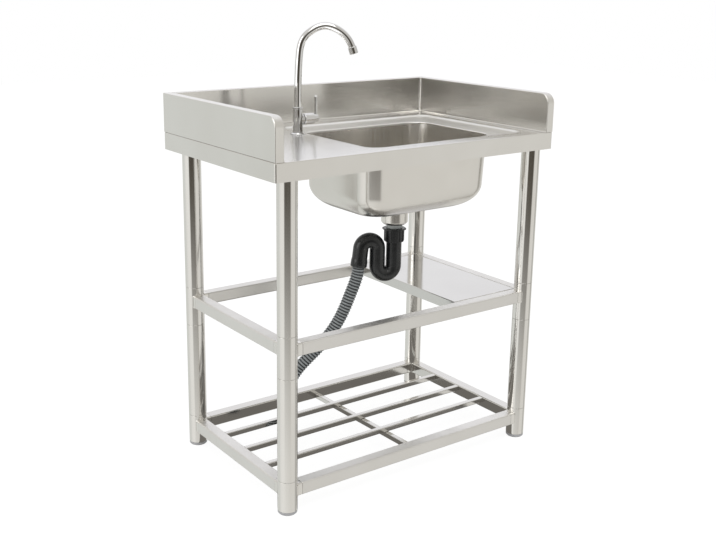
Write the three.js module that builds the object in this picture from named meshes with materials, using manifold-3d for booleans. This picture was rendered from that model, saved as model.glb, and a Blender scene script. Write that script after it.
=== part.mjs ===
// Free-standing steel sink unit: a folded worktop with upstands on three sides, one pressed bowl,
// a tubular stand with a half shelf and a bar rack, a gooseneck tap and a trap with a ribbed hose.
// Millimetres. +X runs to the right along the front, +Y to the back, +Z up.
// The origin is on the floor, under the middle of the worktop.
import * as THREE from 'three';
import { mergeVertices } from 'three/addons/utils/BufferGeometryUtils.js';
import Module from 'manifold-3d';

const wasm = await Module();
wasm.setup();

// ---- driving dimensions: fits -------------------------------------------------------------------
const SEAT_GAP = 0.3;            // between pieces that rest on, plug into or butt against each other

// ---- driving dimensions: worktop and upstands ---------------------------------------------------
const WORKTOP_WIDTH = 800;
const WORKTOP_DEPTH = 500;
const WORKTOP_HEIGHT = 800;
const APRON_HEIGHT = 41;
const SHEET = 1.2;               // worktop, upstand and shelf sheet
const APRON_CORNER_RADIUS = 4;
const UPSTAND_HEIGHT = 94;
const UPSTAND_THICKNESS = 22;
const UPSTAND_NOSE_RADIUS = 25;
const RECESS_LEFT_MARGIN = 8;    // of the pressed step round the bowl, beyond the bowl's rim
const RECESS_RIGHT_MARGIN = 77;
const RECESS_FRONT_MARGIN = 18;
const RECESS_REAR_MARGIN = 73;
const RECESS_CORNER_RADIUS = 24;
const RECESS_DEPTH = 4;

// ---- driving dimensions: bowl -------------------------------------------------------------------
const BOWL_LENGTH = 376;         // along X, at the rim
const BOWL_WIDTH = 281;          // along Y, at the rim
const BOWL_CENTRE_X = 75;
const BOWL_CENTRE_Y = -47.5;
const BOWL_DEPTH = 176;          // from the recess down to the bottom
const BOWL_CORNER_RADIUS = 42;
const BOWL_FLOOR_CORNER_RADIUS = 50;
const BOWL_BOTTOM_RADIUS = 56;
const BOWL_DRAFT = 0.036;        // inward lean of the walls, per millimetre of depth
const BOWL_SHEET = 1;
const BOWL_FLANGE = 10;
const BOWL_FALL = 3;             // fall of the bottom towards the waste

// ---- driving dimensions: waste ------------------------------------------------------------------
const WASTE_FLANGE_RADIUS = 42;
const WASTE_FLANGE_THICKNESS = 1.2;
const WASTE_RECESS_DEPTH = 3;
const WASTE_THROAT_RADIUS = 30;
const WASTE_THROAT_DEPTH = 18;
const WASTE_HOLE_COUNT = 6;
const WASTE_HOLE_RADIUS = 5.5;
const WASTE_HOLE_CIRCLE = 17;
const BASKET_RIM_RADIUS = 34;
const BASKET_RADIUS = 27;
const BASKET_DEPTH = 10;
const BASKET_WALL = 1;
const BASKET_HOLE_COUNT = 8;
const BASKET_HOLE_RADIUS = 3.2;
const BASKET_HOLE_CIRCLE = 18;
const BASKET_KNOB_RADIUS = 7;
const BASKET_KNOB_HEIGHT = 8;    // above the basket's rim
const SEAL_THICKNESS = 3;
const CUP_RADIUS = 33.25;
const CUP_WALL = 1.2;
const CUP_SIDE = 31.4;           // of the cup's straight side
const CUP_CHAMFER = 6;
const CUP_NECK_RADIUS = 17.5;
const CUP_NECK_BORE = 15;
const CUP_NECK_LENGTH = 26;
const SCREW_RADIUS = 3;
const SCREW_HEAD_RADIUS = 6;
const SCREW_HEAD_HEIGHT = 4;
const BRIDGE_THICKNESS = 5;
const BOSS_RADIUS = 6;
const BOSS_HEIGHT = 16;

// ---- driving dimensions: trap and hose ----------------------------------------------------------
const DRAIN_HEADING = THREE.MathUtils.degToRad(160);   // the trap's plane, from +X towards +Y
const TRAP_RADIUS = 19.2;
const TRAP_WALL = 2.4;
const TRAP_BEND_RADIUS = 21.5;
const TRAP_INLET_LENGTH = 80.2;        // of the straight inlet above the lower bend
const TRAP_RISE = 45.5;                // of the straight between the two bends
const TRAP_OUTLET_LEAN = THREE.MathUtils.degToRad(6.5);
const TRAP_OUTLET_LENGTH = 46;
const TRAP_SOCKET_LENGTH = 22;         // of the wider end that holds the hose
const TRAP_SOCKET_FLARE = 10;          // length over which the pipe widens to that end
const TRAP_SOCKET_RADIUS = 20.6;
const TRAP_NUT_RADIUS = 24;
const TRAP_NUT_HEIGHT = 34.5;
const TRAP_NUT_WING_RADIUS = 29.5;
const TRAP_NUT_WING_HEIGHT = 4;
const TRAP_NUT_RIBS = 12;
const TRAP_NUT_RIB_WIDTH = 4;
const TRAP_NUT_RIB_DEPTH = 1.4;
const WASHER_RADIUS = 19.8;
const WASHER_THICKNESS = 10;
const HOSE_RADIUS = 16;
const HOSE_BORE_RADIUS = 12.8;
const HOSE_RIB_PITCH = 7.6;
const HOSE_RIB_DEPTH = 1.8;
const RIBS_PER_BORE_RING = 2;
const CUFF_RADIUS = 18.5;
const CUFF_LENGTH = 41;
const CUFF_FLOOR_GAP = 1;

// Route of the hose in the trap's plane: distance beyond the trap's end, and drop below it. The drops
// are stretched or shrunk together, so that the last one ends at the cuff.
const HOSE_ROUTE = [
  [0, 0], [1.7, 15], [5.6, 31.3], [12.3, 50.6], [20.2, 70.7], [28.2, 91.1], [36.9, 111.5], [46.9, 131.7],
  [58.9, 151.9], [72.9, 171.4], [88.9, 190.4], [106.2, 208.6], [121.9, 223.9], [136.9, 238.4],
  [150.4, 252.5], [161.9, 267], [171.8, 283.4], [179.5, 302.4], [184.9, 324.4], [187.5, 347.4],
  [187.9, 370.4], [187.9, 397.4], [187.9, 425.1],
];

// ---- driving dimensions: stand ------------------------------------------------------------------
const LEG_DIAMETER = 45;
const LEG_WALL = 1.2;
const LEG_INSET_SIDE = 45;       // from the worktop's edge to the leg's axis
const LEG_INSET_FRONT = 26;
const LEG_INSET_REAR = 52;
const SOCKET_PLATE = 2;
const SOCKET_LENGTH = 45;
const SPIGOT_LENGTH = 30;        // of a connector's plug inside the leg above or below it
const SPIGOT_WALL = 1.2;
const MID_RAIL_TOP = 400;
const MID_SLEEVE_ABOVE = 19.5;   // of the sleeve above the rails
const MID_SLEEVE_BELOW = 46.5;   // of the sleeve below the rails
const BASE_RAIL_TOP = 69;
const BASE_SLEEVE_ABOVE = 12;
const RAIL_SIZE = 30;
const RAIL_WALL = 1.2;
const RAIL_CORNER_RADIUS = 4;
const STUB_LENGTH = 8;           // of a connector's arm, beyond the leg's surface
const ARM_PLUG_LENGTH = 32;      // of an arm's plug inside the rail
const ARM_WALL = 1.5;
const ARM_PLUG_CLEARANCE = 1.2;  // round the plug, so that its edges clear the rail's inner corners
const FOOT_HEIGHT = 8;
const FOOT_EDGE_RADIUS = 5;
const FOOT_PLUG_LENGTH = 18;
const SHELF_LEFT = 138;
const SHELF_FOLD = 25;
const BAR_SIZE = 13;
const BAR_WALL = 1;
const BAR_PITCH = 96;
const BAR_DROP = 2;              // of the bars below the top of the base rails
const BAR_COUNT = 3;
const CROSS_BAR_X = 10.5;        // of the cross-bar's middle
const CROSS_BAR_TURN = THREE.MathUtils.degToRad(1.8);

// ---- driving dimensions: tap --------------------------------------------------------------------
const TAP_FROM_RECESS = 24.5;    // of the tap's axis, left of the recess
const TAP_FROM_BOWL_REAR = 39;   // of the tap's axis, in front of the bowl's rear rim
const TAP_FLANGE_RADIUS = 18;
const TAP_FLANGE_HEIGHT = 4;
const TAP_BODY_RADIUS = 12;
const TAP_BODY_HEIGHT = 56;
const TAP_COLLAR_RADIUS = 12.8;
const TAP_COLLAR_HEIGHT = 4;
const VALVE_HEIGHT = 34.5;       // of the valve's axis above the worktop
const VALVE_BOSS_REACH = 15;     // all reaches are along X, from the tap's axis
const VALVE_REACH = 44;
const VALVE_RADIUS = 13.3;
const VALVE_STEM_RADIUS = 5;
const VALVE_STEM_LENGTH = 12;
const HUB_REACH = 56.5;
const HUB_RADIUS = 9.5;
const LEVER_RADIUS = 4;
const LEVER_LENGTH = 54;         // from the valve's axis to the tip
const LEVER_END_MARGIN = 5;      // from the lever's axis to the hub's outer face
const SPOUT_RADIUS = 8.6;
const SPOUT_BORE_RADIUS = 7;
const SPOUT_SOCKET_DEPTH = 22;
const SPOUT_HEADING = THREE.MathUtils.degToRad(-27);
const AERATOR_RADIUS = 10.5;
const AERATOR_LENGTH = 17;
const AERATOR_OVERLAP = 12;      // of the aerator over the end of the spout
const AERATOR_BORE_RADIUS = 6;
const SHANK_RADIUS = 10;
const SHANK_BORE_RADIUS = 7;
const SHANK_BELOW = 55;          // below the worktop's surface
const SHANK_IN_BODY = 14;
const SHANK_HOLE_CLEARANCE = 1;
const TAP_NUT_RADIUS = 16;
const TAP_NUT_FLANGE_RADIUS = 20;
const TAP_NUT_FLANGE_HEIGHT = 2;
const TAP_NUT_HEIGHT = 9;

// Centre line of the spout in its own plane: distance from the tap's axis, height above the worktop.
const SPOUT_ROUTE = [
  [0, 80], [0.3, 112], [1.4, 150], [3, 178], [5.6, 202], [10.2, 218], [18.5, 231], [31, 241.3],
  [46, 249.6], [63.5, 253.4], [79, 250.9], [92, 245.6], [103, 238.6], [112.8, 229.8], [120.8, 219.6],
  [127.2, 207], [131.7, 193.7],
];

// ---- faceting -----------------------------------------------------------------------------------
const LEG_SIDES = 16;
const ROUND_SIDES = 18;
const HOLE_SIDES = 8;
const CORNER_HALF_STEPS = 1;     // half of the steps round the corner of a bar or a fold
const NOSE_HALF_STEPS = 3;       // half of the steps round a larger corner of the sheet
const PIPE_SIDES = 12;           // of a bent pipe
const HOSE_SIDES = 12;
const BOWL_CORNER_STEPS = 6;
const BOWL_FILLET_STEPS = 5;
const TRAP_BEND_STEPS = 7;

// ---- worked-out places --------------------------------------------------------------------------
const HALF_WIDTH = WORKTOP_WIDTH / 2;
const HALF_DEPTH = WORKTOP_DEPTH / 2;
const DECK_UNDERSIDE = WORKTOP_HEIGHT - SHEET;
const RECESS_FLOOR = WORKTOP_HEIGHT - RECESS_DEPTH;
const UPSTAND_TOP = WORKTOP_HEIGHT + UPSTAND_HEIGHT;
const LEG_RADIUS = LEG_DIAMETER / 2;
const LEG_BORE = LEG_RADIUS - LEG_WALL;
const PLUG_RADIUS = LEG_BORE - SEAT_GAP;
const LEG_LEFT = LEG_INSET_SIDE - HALF_WIDTH;
const LEG_RIGHT = HALF_WIDTH - LEG_INSET_SIDE;
const LEG_FRONT = LEG_INSET_FRONT - HALF_DEPTH;
const LEG_REAR = HALF_DEPTH - LEG_INSET_REAR;
const SOCKET_TOP = DECK_UNDERSIDE - SEAT_GAP;
const LEG_TOP = SOCKET_TOP - SOCKET_PLATE - SEAT_GAP;
const MID_SLEEVE_TOP = MID_RAIL_TOP + MID_SLEEVE_ABOVE;
const MID_SLEEVE_BOTTOM = MID_RAIL_TOP - RAIL_SIZE - MID_SLEEVE_BELOW;
const BASE_SLEEVE_TOP = BASE_RAIL_TOP + BASE_SLEEVE_ABOVE;
const ARM_REACH = LEG_RADIUS + STUB_LENGTH;
const RACK_TOP = BASE_RAIL_TOP - BAR_DROP;
const RACK_MIDDLE = (LEG_FRONT + LEG_REAR) / 2;
const RECESS_LEFT = BOWL_CENTRE_X - BOWL_LENGTH / 2 - RECESS_LEFT_MARGIN;
const RECESS_RIGHT = BOWL_CENTRE_X + BOWL_LENGTH / 2 + RECESS_RIGHT_MARGIN;
const RECESS_FRONT = BOWL_CENTRE_Y - BOWL_WIDTH / 2 - RECESS_FRONT_MARGIN;
const RECESS_REAR = BOWL_CENTRE_Y + BOWL_WIDTH / 2 + RECESS_REAR_MARGIN;
const TAP_X = RECESS_LEFT - TAP_FROM_RECESS;
const TAP_Y = BOWL_CENTRE_Y + BOWL_WIDTH / 2 - TAP_FROM_BOWL_REAR;
const BOWL_BOTTOM = RECESS_FLOOR - BOWL_DEPTH;
const BOWL_TOP = RECESS_FLOOR - SHEET - SEAT_GAP;
const WASTE_X = BOWL_CENTRE_X;
const WASTE_Y = BOWL_CENTRE_Y;
const WASTE_SEAT = BOWL_BOTTOM - BOWL_FALL - WASTE_RECESS_DEPTH;
const WASTE_TOP = WASTE_SEAT + SEAT_GAP + WASTE_FLANGE_THICKNESS;
const THROAT_BOTTOM = WASTE_TOP - WASTE_THROAT_DEPTH;
const CUP_TOP = WASTE_SEAT - BOWL_SHEET - SEAL_THICKNESS - 2 * SEAT_GAP;
const CUP_SIDE_BOTTOM = CUP_TOP - CUP_SIDE;
const CUP_NECK_TOP = CUP_SIDE_BOTTOM - CUP_CHAMFER;
const CUP_NECK_BOTTOM = CUP_NECK_TOP - CUP_NECK_LENGTH;
const WASHER_TOP = CUP_NECK_TOP - SEAT_GAP;
const TRAP_NUT_TOP = WASHER_TOP - WASHER_THICKNESS - SEAT_GAP;
const TRAP_TOP = CUP_NECK_BOTTOM - SEAT_GAP;
const TRAP_LOW_BEND = TRAP_TOP - TRAP_INLET_LENGTH;
const TRAP_HIGH_BEND = TRAP_LOW_BEND + TRAP_RISE;
const CUFF_TOP = CUFF_FLOOR_GAP + CUFF_LENGTH;

// ---- colours ------------------------------------------------------------------------------------
const finish = (color, roughness, metalness) =>
  new THREE.MeshStandardMaterial({ color, roughness, metalness });
const BRUSHED = finish(0xbfbbb4, 0.32, 1);
const POLISHED = finish(0xc8c5bf, 0.16, 1);
const CHROME = finish(0xd8d8d8, 0.06, 1);
const BLACK_PLASTIC = finish(0x2b2c2d, 0.5, 0);
const GREY_PLASTIC = finish(0x55585a, 0.6, 0);
const GREY_RUBBER = finish(0x8d9190, 0.8, 0);
const FOOT_PLASTIC = finish(0xb9b9be, 0.5, 0);

// ---- closed meshes and solids -------------------------------------------------------------------
function signedVolume(position, index) {
  const [a, b, c] = [new THREE.Vector3(), new THREE.Vector3(), new THREE.Vector3()];
  let sum = 0;
  for (let i = 0; i < index.length; i += 3) {
    a.fromBufferAttribute(position, index[i]);
    b.fromBufferAttribute(position, index[i + 1]);
    c.fromBufferAttribute(position, index[i + 2]);
    sum += a.dot(b.cross(c)) / 6;
  }
  return sum;
}

// One mesh of shared vertices, without collapsed faces, facing out.
function closed(geometry) {
  geometry.deleteAttribute('normal');
  geometry.deleteAttribute('uv');
  const merged = mergeVertices(geometry, 1e-4);
  const kept = [];
  const source = merged.index.array;
  for (let i = 0; i < source.length; i += 3) {
    const [a, b, c] = [source[i], source[i + 1], source[i + 2]];
    if (a !== b && b !== c && c !== a) kept.push(a, b, c);
  }
  if (signedVolume(merged.attributes.position, kept) < 0) kept.reverse();
  merged.setIndex(kept);
  merged.clearGroups();
  return merged;
}

function solid(geometry) {
  const body = closed(geometry);
  return new wasm.Manifold(new wasm.Mesh({
    numProp: 3,
    vertProperties: new Float32Array(body.attributes.position.array),
    triVerts: new Uint32Array(body.index.array),
  }));
}

function surface(manifold) {
  const mesh = manifold.getMesh();
  const geometry = new THREE.BufferGeometry();
  geometry.setAttribute('position', new THREE.BufferAttribute(new Float32Array(mesh.vertProperties), 3));
  geometry.setIndex(new THREE.BufferAttribute(new Uint32Array(mesh.triVerts), 1));
  return geometry;
}

const joined = (first, ...rest) => rest.reduce((sum, next) => sum.add(next), first);
const cut = (first, ...rest) => rest.reduce((left, next) => left.subtract(next), first);

// ---- plain shapes -------------------------------------------------------------------------------
function box(x0, x1, y0, y1, z0, z1) {
  const geometry = new THREE.BoxGeometry(x1 - x0, y1 - y0, z1 - z0);
  return geometry.translate((x0 + x1) / 2, (y0 + y1) / 2, (z0 + z1) / 2);
}

// A profile of [radius, height] turned about the vertical line through x, y.
function turned(profile, x = 0, y = 0, sides = ROUND_SIDES) {
  const points = profile.map(([r, z]) => new THREE.Vector2(r, z));
  const onAxis = profile[0][0] === 0 && profile[profile.length - 1][0] === 0;
  if (!onAxis) points.push(points[0].clone());
  return new THREE.LatheGeometry(points, sides).rotateX(Math.PI / 2).translate(x, y, 0);
}

const rod = (radius, z0, z1, x, y, sides) =>
  turned([[0, z0], [radius, z0], [radius, z1], [0, z1]], x, y, sides);
const pipe = (radius, bore, z0, z1, x, y, sides) =>
  turned([[bore, z0], [radius, z0], [radius, z1], [bore, z1]], x, y, sides);

// A turned profile laid along +X, with its axis through y, z.
function turnedAlongX(profile, x, y, z, sides = ROUND_SIDES) {
  return turned(profile, 0, 0, sides).rotateY(Math.PI / 2).translate(x, y, z);
}

function roundedRectangle(x0, x1, y0, y1, radius) {
  const shape = new THREE.Shape();
  shape.moveTo(x0 + radius, y0);
  shape.lineTo(x1 - radius, y0);
  shape.absarc(x1 - radius, y0 + radius, radius, -Math.PI / 2, 0, false);
  shape.lineTo(x1, y1 - radius);
  shape.absarc(x1 - radius, y1 - radius, radius, 0, Math.PI / 2, false);
  shape.lineTo(x0 + radius, y1);
  shape.absarc(x0 + radius, y1 - radius, radius, Math.PI / 2, Math.PI, false);
  shape.lineTo(x0, y0 + radius);
  shape.absarc(x0 + radius, y0 + radius, radius, Math.PI, Math.PI * 1.5, false);
  return shape;
}

function extruded(shape, z0, z1, curveSegments = CORNER_HALF_STEPS) {
  const options = { depth: z1 - z0, bevelEnabled: false, curveSegments };
  return new THREE.ExtrudeGeometry(shape, options).translate(0, 0, z0);
}

// A square bar or tube with rounded edges from one place on its axis to another.
function squareBar(axis, from, to, across, height, size, radius, wall = 0) {
  const half = size / 2;
  const section = roundedRectangle(-half, half, -half, half, radius);
  if (wall > 0) {
    const bore = half - wall;
    section.holes.push(roundedRectangle(-bore, bore, -bore, bore, Math.max(radius - wall, wall / 2)));
  }
  const bar = extruded(section, 0, to - from);
  if (axis === 'x') return bar.rotateY(Math.PI / 2).translate(from, across, height);
  return bar.rotateX(-Math.PI / 2).translate(across, from, height);
}

// Rings of equally many points joined side by side, the last to the first.
function loft(rings) {
  const count = rings[0].length;
  const positions = rings.flatMap((ring) => ring.flatMap((p) => [p.x, p.y, p.z]));
  const index = [];
  for (let i = 0; i < rings.length; i += 1) {
    const next = (i + 1) % rings.length;
    for (let k = 0; k < count; k += 1) {
      const side = (k + 1) % count;
      index.push(i * count + k, next * count + k, next * count + side);
      index.push(i * count + k, next * count + side, i * count + side);
    }
  }
  const geometry = new THREE.BufferGeometry();
  geometry.setAttribute('position', new THREE.Float32BufferAttribute(positions, 3));
  geometry.setIndex(index);
  return geometry;
}

// ---- worktop ------------------------------------------------------------------------------------
function bowlOutline(inset, radius, z) {
  return roundedRing(
    BOWL_CENTRE_X, BOWL_CENTRE_Y, BOWL_LENGTH / 2 - inset, BOWL_WIDTH / 2 - inset, radius, z);
}

function worktop() {
  const outer = roundedRectangle(-HALF_WIDTH, HALF_WIDTH, -HALF_DEPTH, HALF_DEPTH, APRON_CORNER_RADIUS);
  const inner = roundedRectangle(
    SHEET - HALF_WIDTH, HALF_WIDTH - SHEET, SHEET - HALF_DEPTH, HALF_DEPTH - SHEET,
    APRON_CORNER_RADIUS - SHEET);
  const bottom = WORKTOP_HEIGHT - APRON_HEIGHT;
  const tray = roundedRectangle(
    RECESS_LEFT - SHEET, RECESS_RIGHT + SHEET, RECESS_FRONT - SHEET, RECESS_REAR + SHEET,
    RECESS_CORNER_RADIUS + SHEET);
  const recess = roundedRectangle(RECESS_LEFT, RECESS_RIGHT, RECESS_FRONT, RECESS_REAR, RECESS_CORNER_RADIUS);
  const opening = roundedRectangle(
    BOWL_CENTRE_X - BOWL_LENGTH / 2, BOWL_CENTRE_X + BOWL_LENGTH / 2,
    BOWL_CENTRE_Y - BOWL_WIDTH / 2, BOWL_CENTRE_Y + BOWL_WIDTH / 2, BOWL_CORNER_RADIUS);
  const over = WORKTOP_HEIGHT + SHEET;
  const shell = cut(
    solid(extruded(outer, bottom, WORKTOP_HEIGHT)), solid(extruded(inner, bottom - SHEET, DECK_UNDERSIDE)));
  const step = extruded(tray, RECESS_FLOOR - SHEET, WORKTOP_HEIGHT - SHEET / 2, NOSE_HALF_STEPS);
  const pressed = shell.add(solid(step));
  return surface(cut(
    pressed,
    solid(extruded(recess, RECESS_FLOOR, over, NOSE_HALF_STEPS)),
    solid(extruded(opening, RECESS_FLOOR - 2 * SHEET, over, BOWL_CORNER_STEPS / 2)),
    solid(rod(SHANK_RADIUS + SHANK_HOLE_CLEARANCE, bottom, over, TAP_X, TAP_Y)),
  ));
}

// A side upstand: a boxed fold with a rounded top front corner, open underneath.
function sideUpstand(x0) {
  const profile = (inset, foot) => {
    const front = inset - HALF_DEPTH;
    const rear = HALF_DEPTH - inset;
    const top = UPSTAND_TOP - inset;
    const radius = UPSTAND_NOSE_RADIUS - inset;
    const shape = new THREE.Shape();
    shape.moveTo(rear, foot);
    shape.lineTo(rear, top);
    shape.lineTo(front + radius, top);
    shape.absarc(front + radius, top - radius, radius, Math.PI / 2, Math.PI, false);
    shape.lineTo(front, foot);
    return shape;
  };
  // The profile is drawn in Y and Z, so its extrusion is turned to run along X.
  const stand = (shape, from, to) => {
    const side = extruded(shape, 0, to - from, NOSE_HALF_STEPS);
    const turn = new THREE.Matrix4().makeBasis(
      new THREE.Vector3(0, 1, 0), new THREE.Vector3(0, 0, 1), new THREE.Vector3(1, 0, 0));
    return side.applyMatrix4(turn).translate(from, 0, 0);
  };
  const foot = WORKTOP_HEIGHT + SEAT_GAP;
  const outside = solid(stand(profile(0, foot), x0, x0 + UPSTAND_THICKNESS));
  const inside = solid(stand(profile(SHEET, foot - SHEET), x0 + SHEET, x0 + UPSTAND_THICKNESS - SHEET));
  return surface(outside.subtract(inside));
}

function rearUpstand() {
  const side = HALF_WIDTH - UPSTAND_THICKNESS - SEAT_GAP;
  const front = HALF_DEPTH - UPSTAND_THICKNESS;
  const foot = WORKTOP_HEIGHT + SEAT_GAP;
  const outside = solid(box(-side, side, front, HALF_DEPTH, foot, UPSTAND_TOP));
  const inside = solid(box(
    SHEET - side, side - SHEET, front + SHEET, HALF_DEPTH - SHEET, foot - SHEET, UPSTAND_TOP - SHEET));
  return surface(outside.subtract(inside));
}

// ---- bowl ---------------------------------------------------------------------------------------
function roundedRing(x, y, halfX, halfY, radius, z) {
  const ring = [];
  const corners = [[1, 1], [-1, 1], [-1, -1], [1, -1]];
  corners.forEach(([sx, sy], quarter) => {
    for (let step = 0; step <= BOWL_CORNER_STEPS; step += 1) {
      const angle = (quarter + step / BOWL_CORNER_STEPS) * Math.PI / 2;
      ring.push(new THREE.Vector3(
        x + sx * (halfX - radius) + radius * Math.cos(angle),
        y + sy * (halfY - radius) + radius * Math.sin(angle), z));
    }
  });
  return ring;
}

// The rings of the bowl's face at a given depth into its sheet, from the flange to the waste hole.
function bowlFace(depth) {
  const rings = [
    bowlOutline(-BOWL_FLANGE, BOWL_CORNER_RADIUS + BOWL_FLANGE, BOWL_TOP - depth),
    bowlOutline(-depth, BOWL_CORNER_RADIUS + depth, BOWL_TOP - depth),
  ];
  const centre = BOWL_BOTTOM + BOWL_BOTTOM_RADIUS;
  const lean = (BOWL_TOP - centre) * BOWL_DRAFT;
  const growth = BOWL_FLOOR_CORNER_RADIUS - BOWL_CORNER_RADIUS;
  for (let step = 0; step <= BOWL_FILLET_STEPS; step += 1) {
    const angle = (step / BOWL_FILLET_STEPS) * Math.PI / 2;
    const reach = BOWL_BOTTOM_RADIUS + depth;
    const inset = lean + BOWL_BOTTOM_RADIUS - reach * Math.cos(angle);
    const radius = BOWL_CORNER_RADIUS + depth + growth * (1 - Math.cos(angle));
    rings.push(bowlOutline(inset, radius, centre - reach * Math.sin(angle)));
  }
  const circle = (radius, z) => roundedRing(WASTE_X, WASTE_Y, radius, radius, radius, z - depth);
  const dish = WASTE_FLANGE_RADIUS + SEAT_GAP;
  rings.push(circle(dish + 2 * WASTE_RECESS_DEPTH, BOWL_BOTTOM - BOWL_FALL));
  rings.push(circle(dish, WASTE_SEAT), circle(WASTE_THROAT_RADIUS + SEAT_GAP, WASTE_SEAT));
  return rings;
}

const sinkBowl = () => closed(loft([...bowlFace(0), ...bowlFace(BOWL_SHEET).reverse()]));

// ---- waste --------------------------------------------------------------------------------------
function holesOnCircle(count, circle, radius, z0, z1) {
  return Array.from({ length: count }, (_, i) => {
    const angle = (i / count) * 2 * Math.PI;
    const [x, y] = [WASTE_X + circle * Math.cos(angle), WASTE_Y + circle * Math.sin(angle)];
    return solid(rod(radius, z0, z1, x, y, HOLE_SIDES));
  });
}

function wasteFlange() {
  const wall = WASTE_FLANGE_THICKNESS;
  const profile = [
    [SCREW_RADIUS + SEAT_GAP, THROAT_BOTTOM], [WASTE_THROAT_RADIUS, THROAT_BOTTOM],
    [WASTE_THROAT_RADIUS, WASTE_TOP - wall], [WASTE_FLANGE_RADIUS, WASTE_TOP - wall],
    [WASTE_FLANGE_RADIUS, WASTE_TOP], [WASTE_THROAT_RADIUS - wall, WASTE_TOP],
    [WASTE_THROAT_RADIUS - wall, THROAT_BOTTOM + wall], [SCREW_RADIUS + SEAT_GAP, THROAT_BOTTOM + wall],
  ];
  const holes = holesOnCircle(
    WASTE_HOLE_COUNT, WASTE_HOLE_CIRCLE, WASTE_HOLE_RADIUS, THROAT_BOTTOM - wall, THROAT_BOTTOM + 2 * wall);
  return surface(cut(solid(turned(profile, WASTE_X, WASTE_Y)), ...holes));
}

function strainerBasket() {
  const rim = WASTE_TOP + SEAT_GAP;
  const floor = rim - BASKET_DEPTH;
  const bore = BASKET_RADIUS - BASKET_WALL;
  const knob = rim + BASKET_KNOB_HEIGHT;
  const profile = [
    [0, floor], [BASKET_RADIUS, floor], [BASKET_RADIUS, rim], [BASKET_RIM_RADIUS, rim],
    [BASKET_RIM_RADIUS, rim + BASKET_WALL], [bore, rim + BASKET_WALL], [bore, floor + BASKET_WALL],
    [SCREW_RADIUS, floor + BASKET_WALL], [SCREW_RADIUS, knob - 4], [BASKET_KNOB_RADIUS, knob - 3],
    [BASKET_KNOB_RADIUS, knob - 1], [BASKET_KNOB_RADIUS - 2, knob], [0, knob],
  ];
  const holes = holesOnCircle(
    BASKET_HOLE_COUNT, BASKET_HOLE_CIRCLE, BASKET_HOLE_RADIUS, floor - BASKET_WALL, floor + 2 * BASKET_WALL);
  return surface(cut(solid(turned(profile, WASTE_X, WASTE_Y)), ...holes));
}

function wasteSeal() {
  const bore = WASTE_THROAT_RADIUS + SEAT_GAP;
  const bottom = CUP_TOP + SEAT_GAP;
  return closed(pipe(CUP_RADIUS, bore, bottom, bottom + SEAL_THICKNESS, WASTE_X, WASTE_Y));
}

function wasteCup() {
  const inside = CUP_RADIUS - CUP_WALL;
  const shoulder = CUP_RADIUS - CUP_CHAMFER;
  const profile = [
    [CUP_NECK_BORE, CUP_NECK_BOTTOM], [CUP_NECK_RADIUS, CUP_NECK_BOTTOM], [CUP_NECK_RADIUS, CUP_NECK_TOP],
    [shoulder, CUP_NECK_TOP], [CUP_RADIUS, CUP_SIDE_BOTTOM], [CUP_RADIUS, CUP_TOP], [inside, CUP_TOP],
    [inside, CUP_SIDE_BOTTOM + CUP_WALL], [shoulder, CUP_NECK_TOP + CUP_WALL],
    [CUP_NECK_BORE, CUP_NECK_TOP + CUP_WALL],
  ];
  const top = CUP_NECK_TOP + BRIDGE_THICKNESS;
  const upright = (radius, low, high) => solid(rod(radius, low, high, WASTE_X, WASTE_Y, HOLE_SIDES));
  const bridge = solid(box(
    WASTE_X - CUP_NECK_RADIUS, WASTE_X + CUP_NECK_RADIUS,
    WASTE_Y - BOSS_RADIUS / 2, WASTE_Y + BOSS_RADIUS / 2, CUP_NECK_TOP, top));
  const boss = upright(BOSS_RADIUS, CUP_NECK_TOP, top + BOSS_HEIGHT);
  const thread = upright(SCREW_RADIUS + SEAT_GAP, top, top + 2 * BOSS_HEIGHT);
  return surface(cut(joined(solid(turned(profile, WASTE_X, WASTE_Y)), bridge, boss), thread));
}

function wasteScrew() {
  const foot = CUP_NECK_TOP + BRIDGE_THICKNESS + SEAT_GAP;
  const under = THROAT_BOTTOM + WASTE_FLANGE_THICKNESS + SEAT_GAP;
  const profile = [
    [0, foot], [SCREW_RADIUS, foot], [SCREW_RADIUS, under], [SCREW_HEAD_RADIUS, under],
    [SCREW_HEAD_RADIUS, under + SCREW_HEAD_HEIGHT], [0, under + SCREW_HEAD_HEIGHT],
  ];
  return closed(turned(profile, WASTE_X, WASTE_Y, HOLE_SIDES));
}

// ---- trap and hose ------------------------------------------------------------------------------
// A point in the trap's plane: distance from the waste's axis along the drain's heading, and height.
function inDrainPlane(reach, height) {
  return new THREE.Vector3(
    WASTE_X + reach * Math.cos(DRAIN_HEADING), WASTE_Y + reach * Math.sin(DRAIN_HEADING), height);
}

// A bent pipe whose centre line stays in one upright plane. Each station is a point of that line, given
// by its reach and height, the angle at which the line runs there, from the reach towards the top, and
// the pipe's radius and bore where they are other than elsewhere.
function uprightPipe(place, stations, radius, bore) {
  const side = place(0, 1).sub(place(0, 0)).cross(place(1, 0).sub(place(0, 0)));
  const ring = (reach, height, angle, r) => Array.from({ length: PIPE_SIDES }, (_, k) => {
    const turn = (k / PIPE_SIDES) * 2 * Math.PI;
    const out = r * Math.cos(turn);
    return place(reach - out * Math.sin(angle), height + out * Math.cos(angle))
      .addScaledVector(side, r * Math.sin(turn));
  });
  const outside = stations.map(([reach, height, angle, r = radius]) => ring(reach, height, angle, r));
  const inside = stations.map(([reach, height, angle, , r = bore]) => ring(reach, height, angle, r));
  return closed(loft([...outside, ...inside.reverse()]));
}

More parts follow.
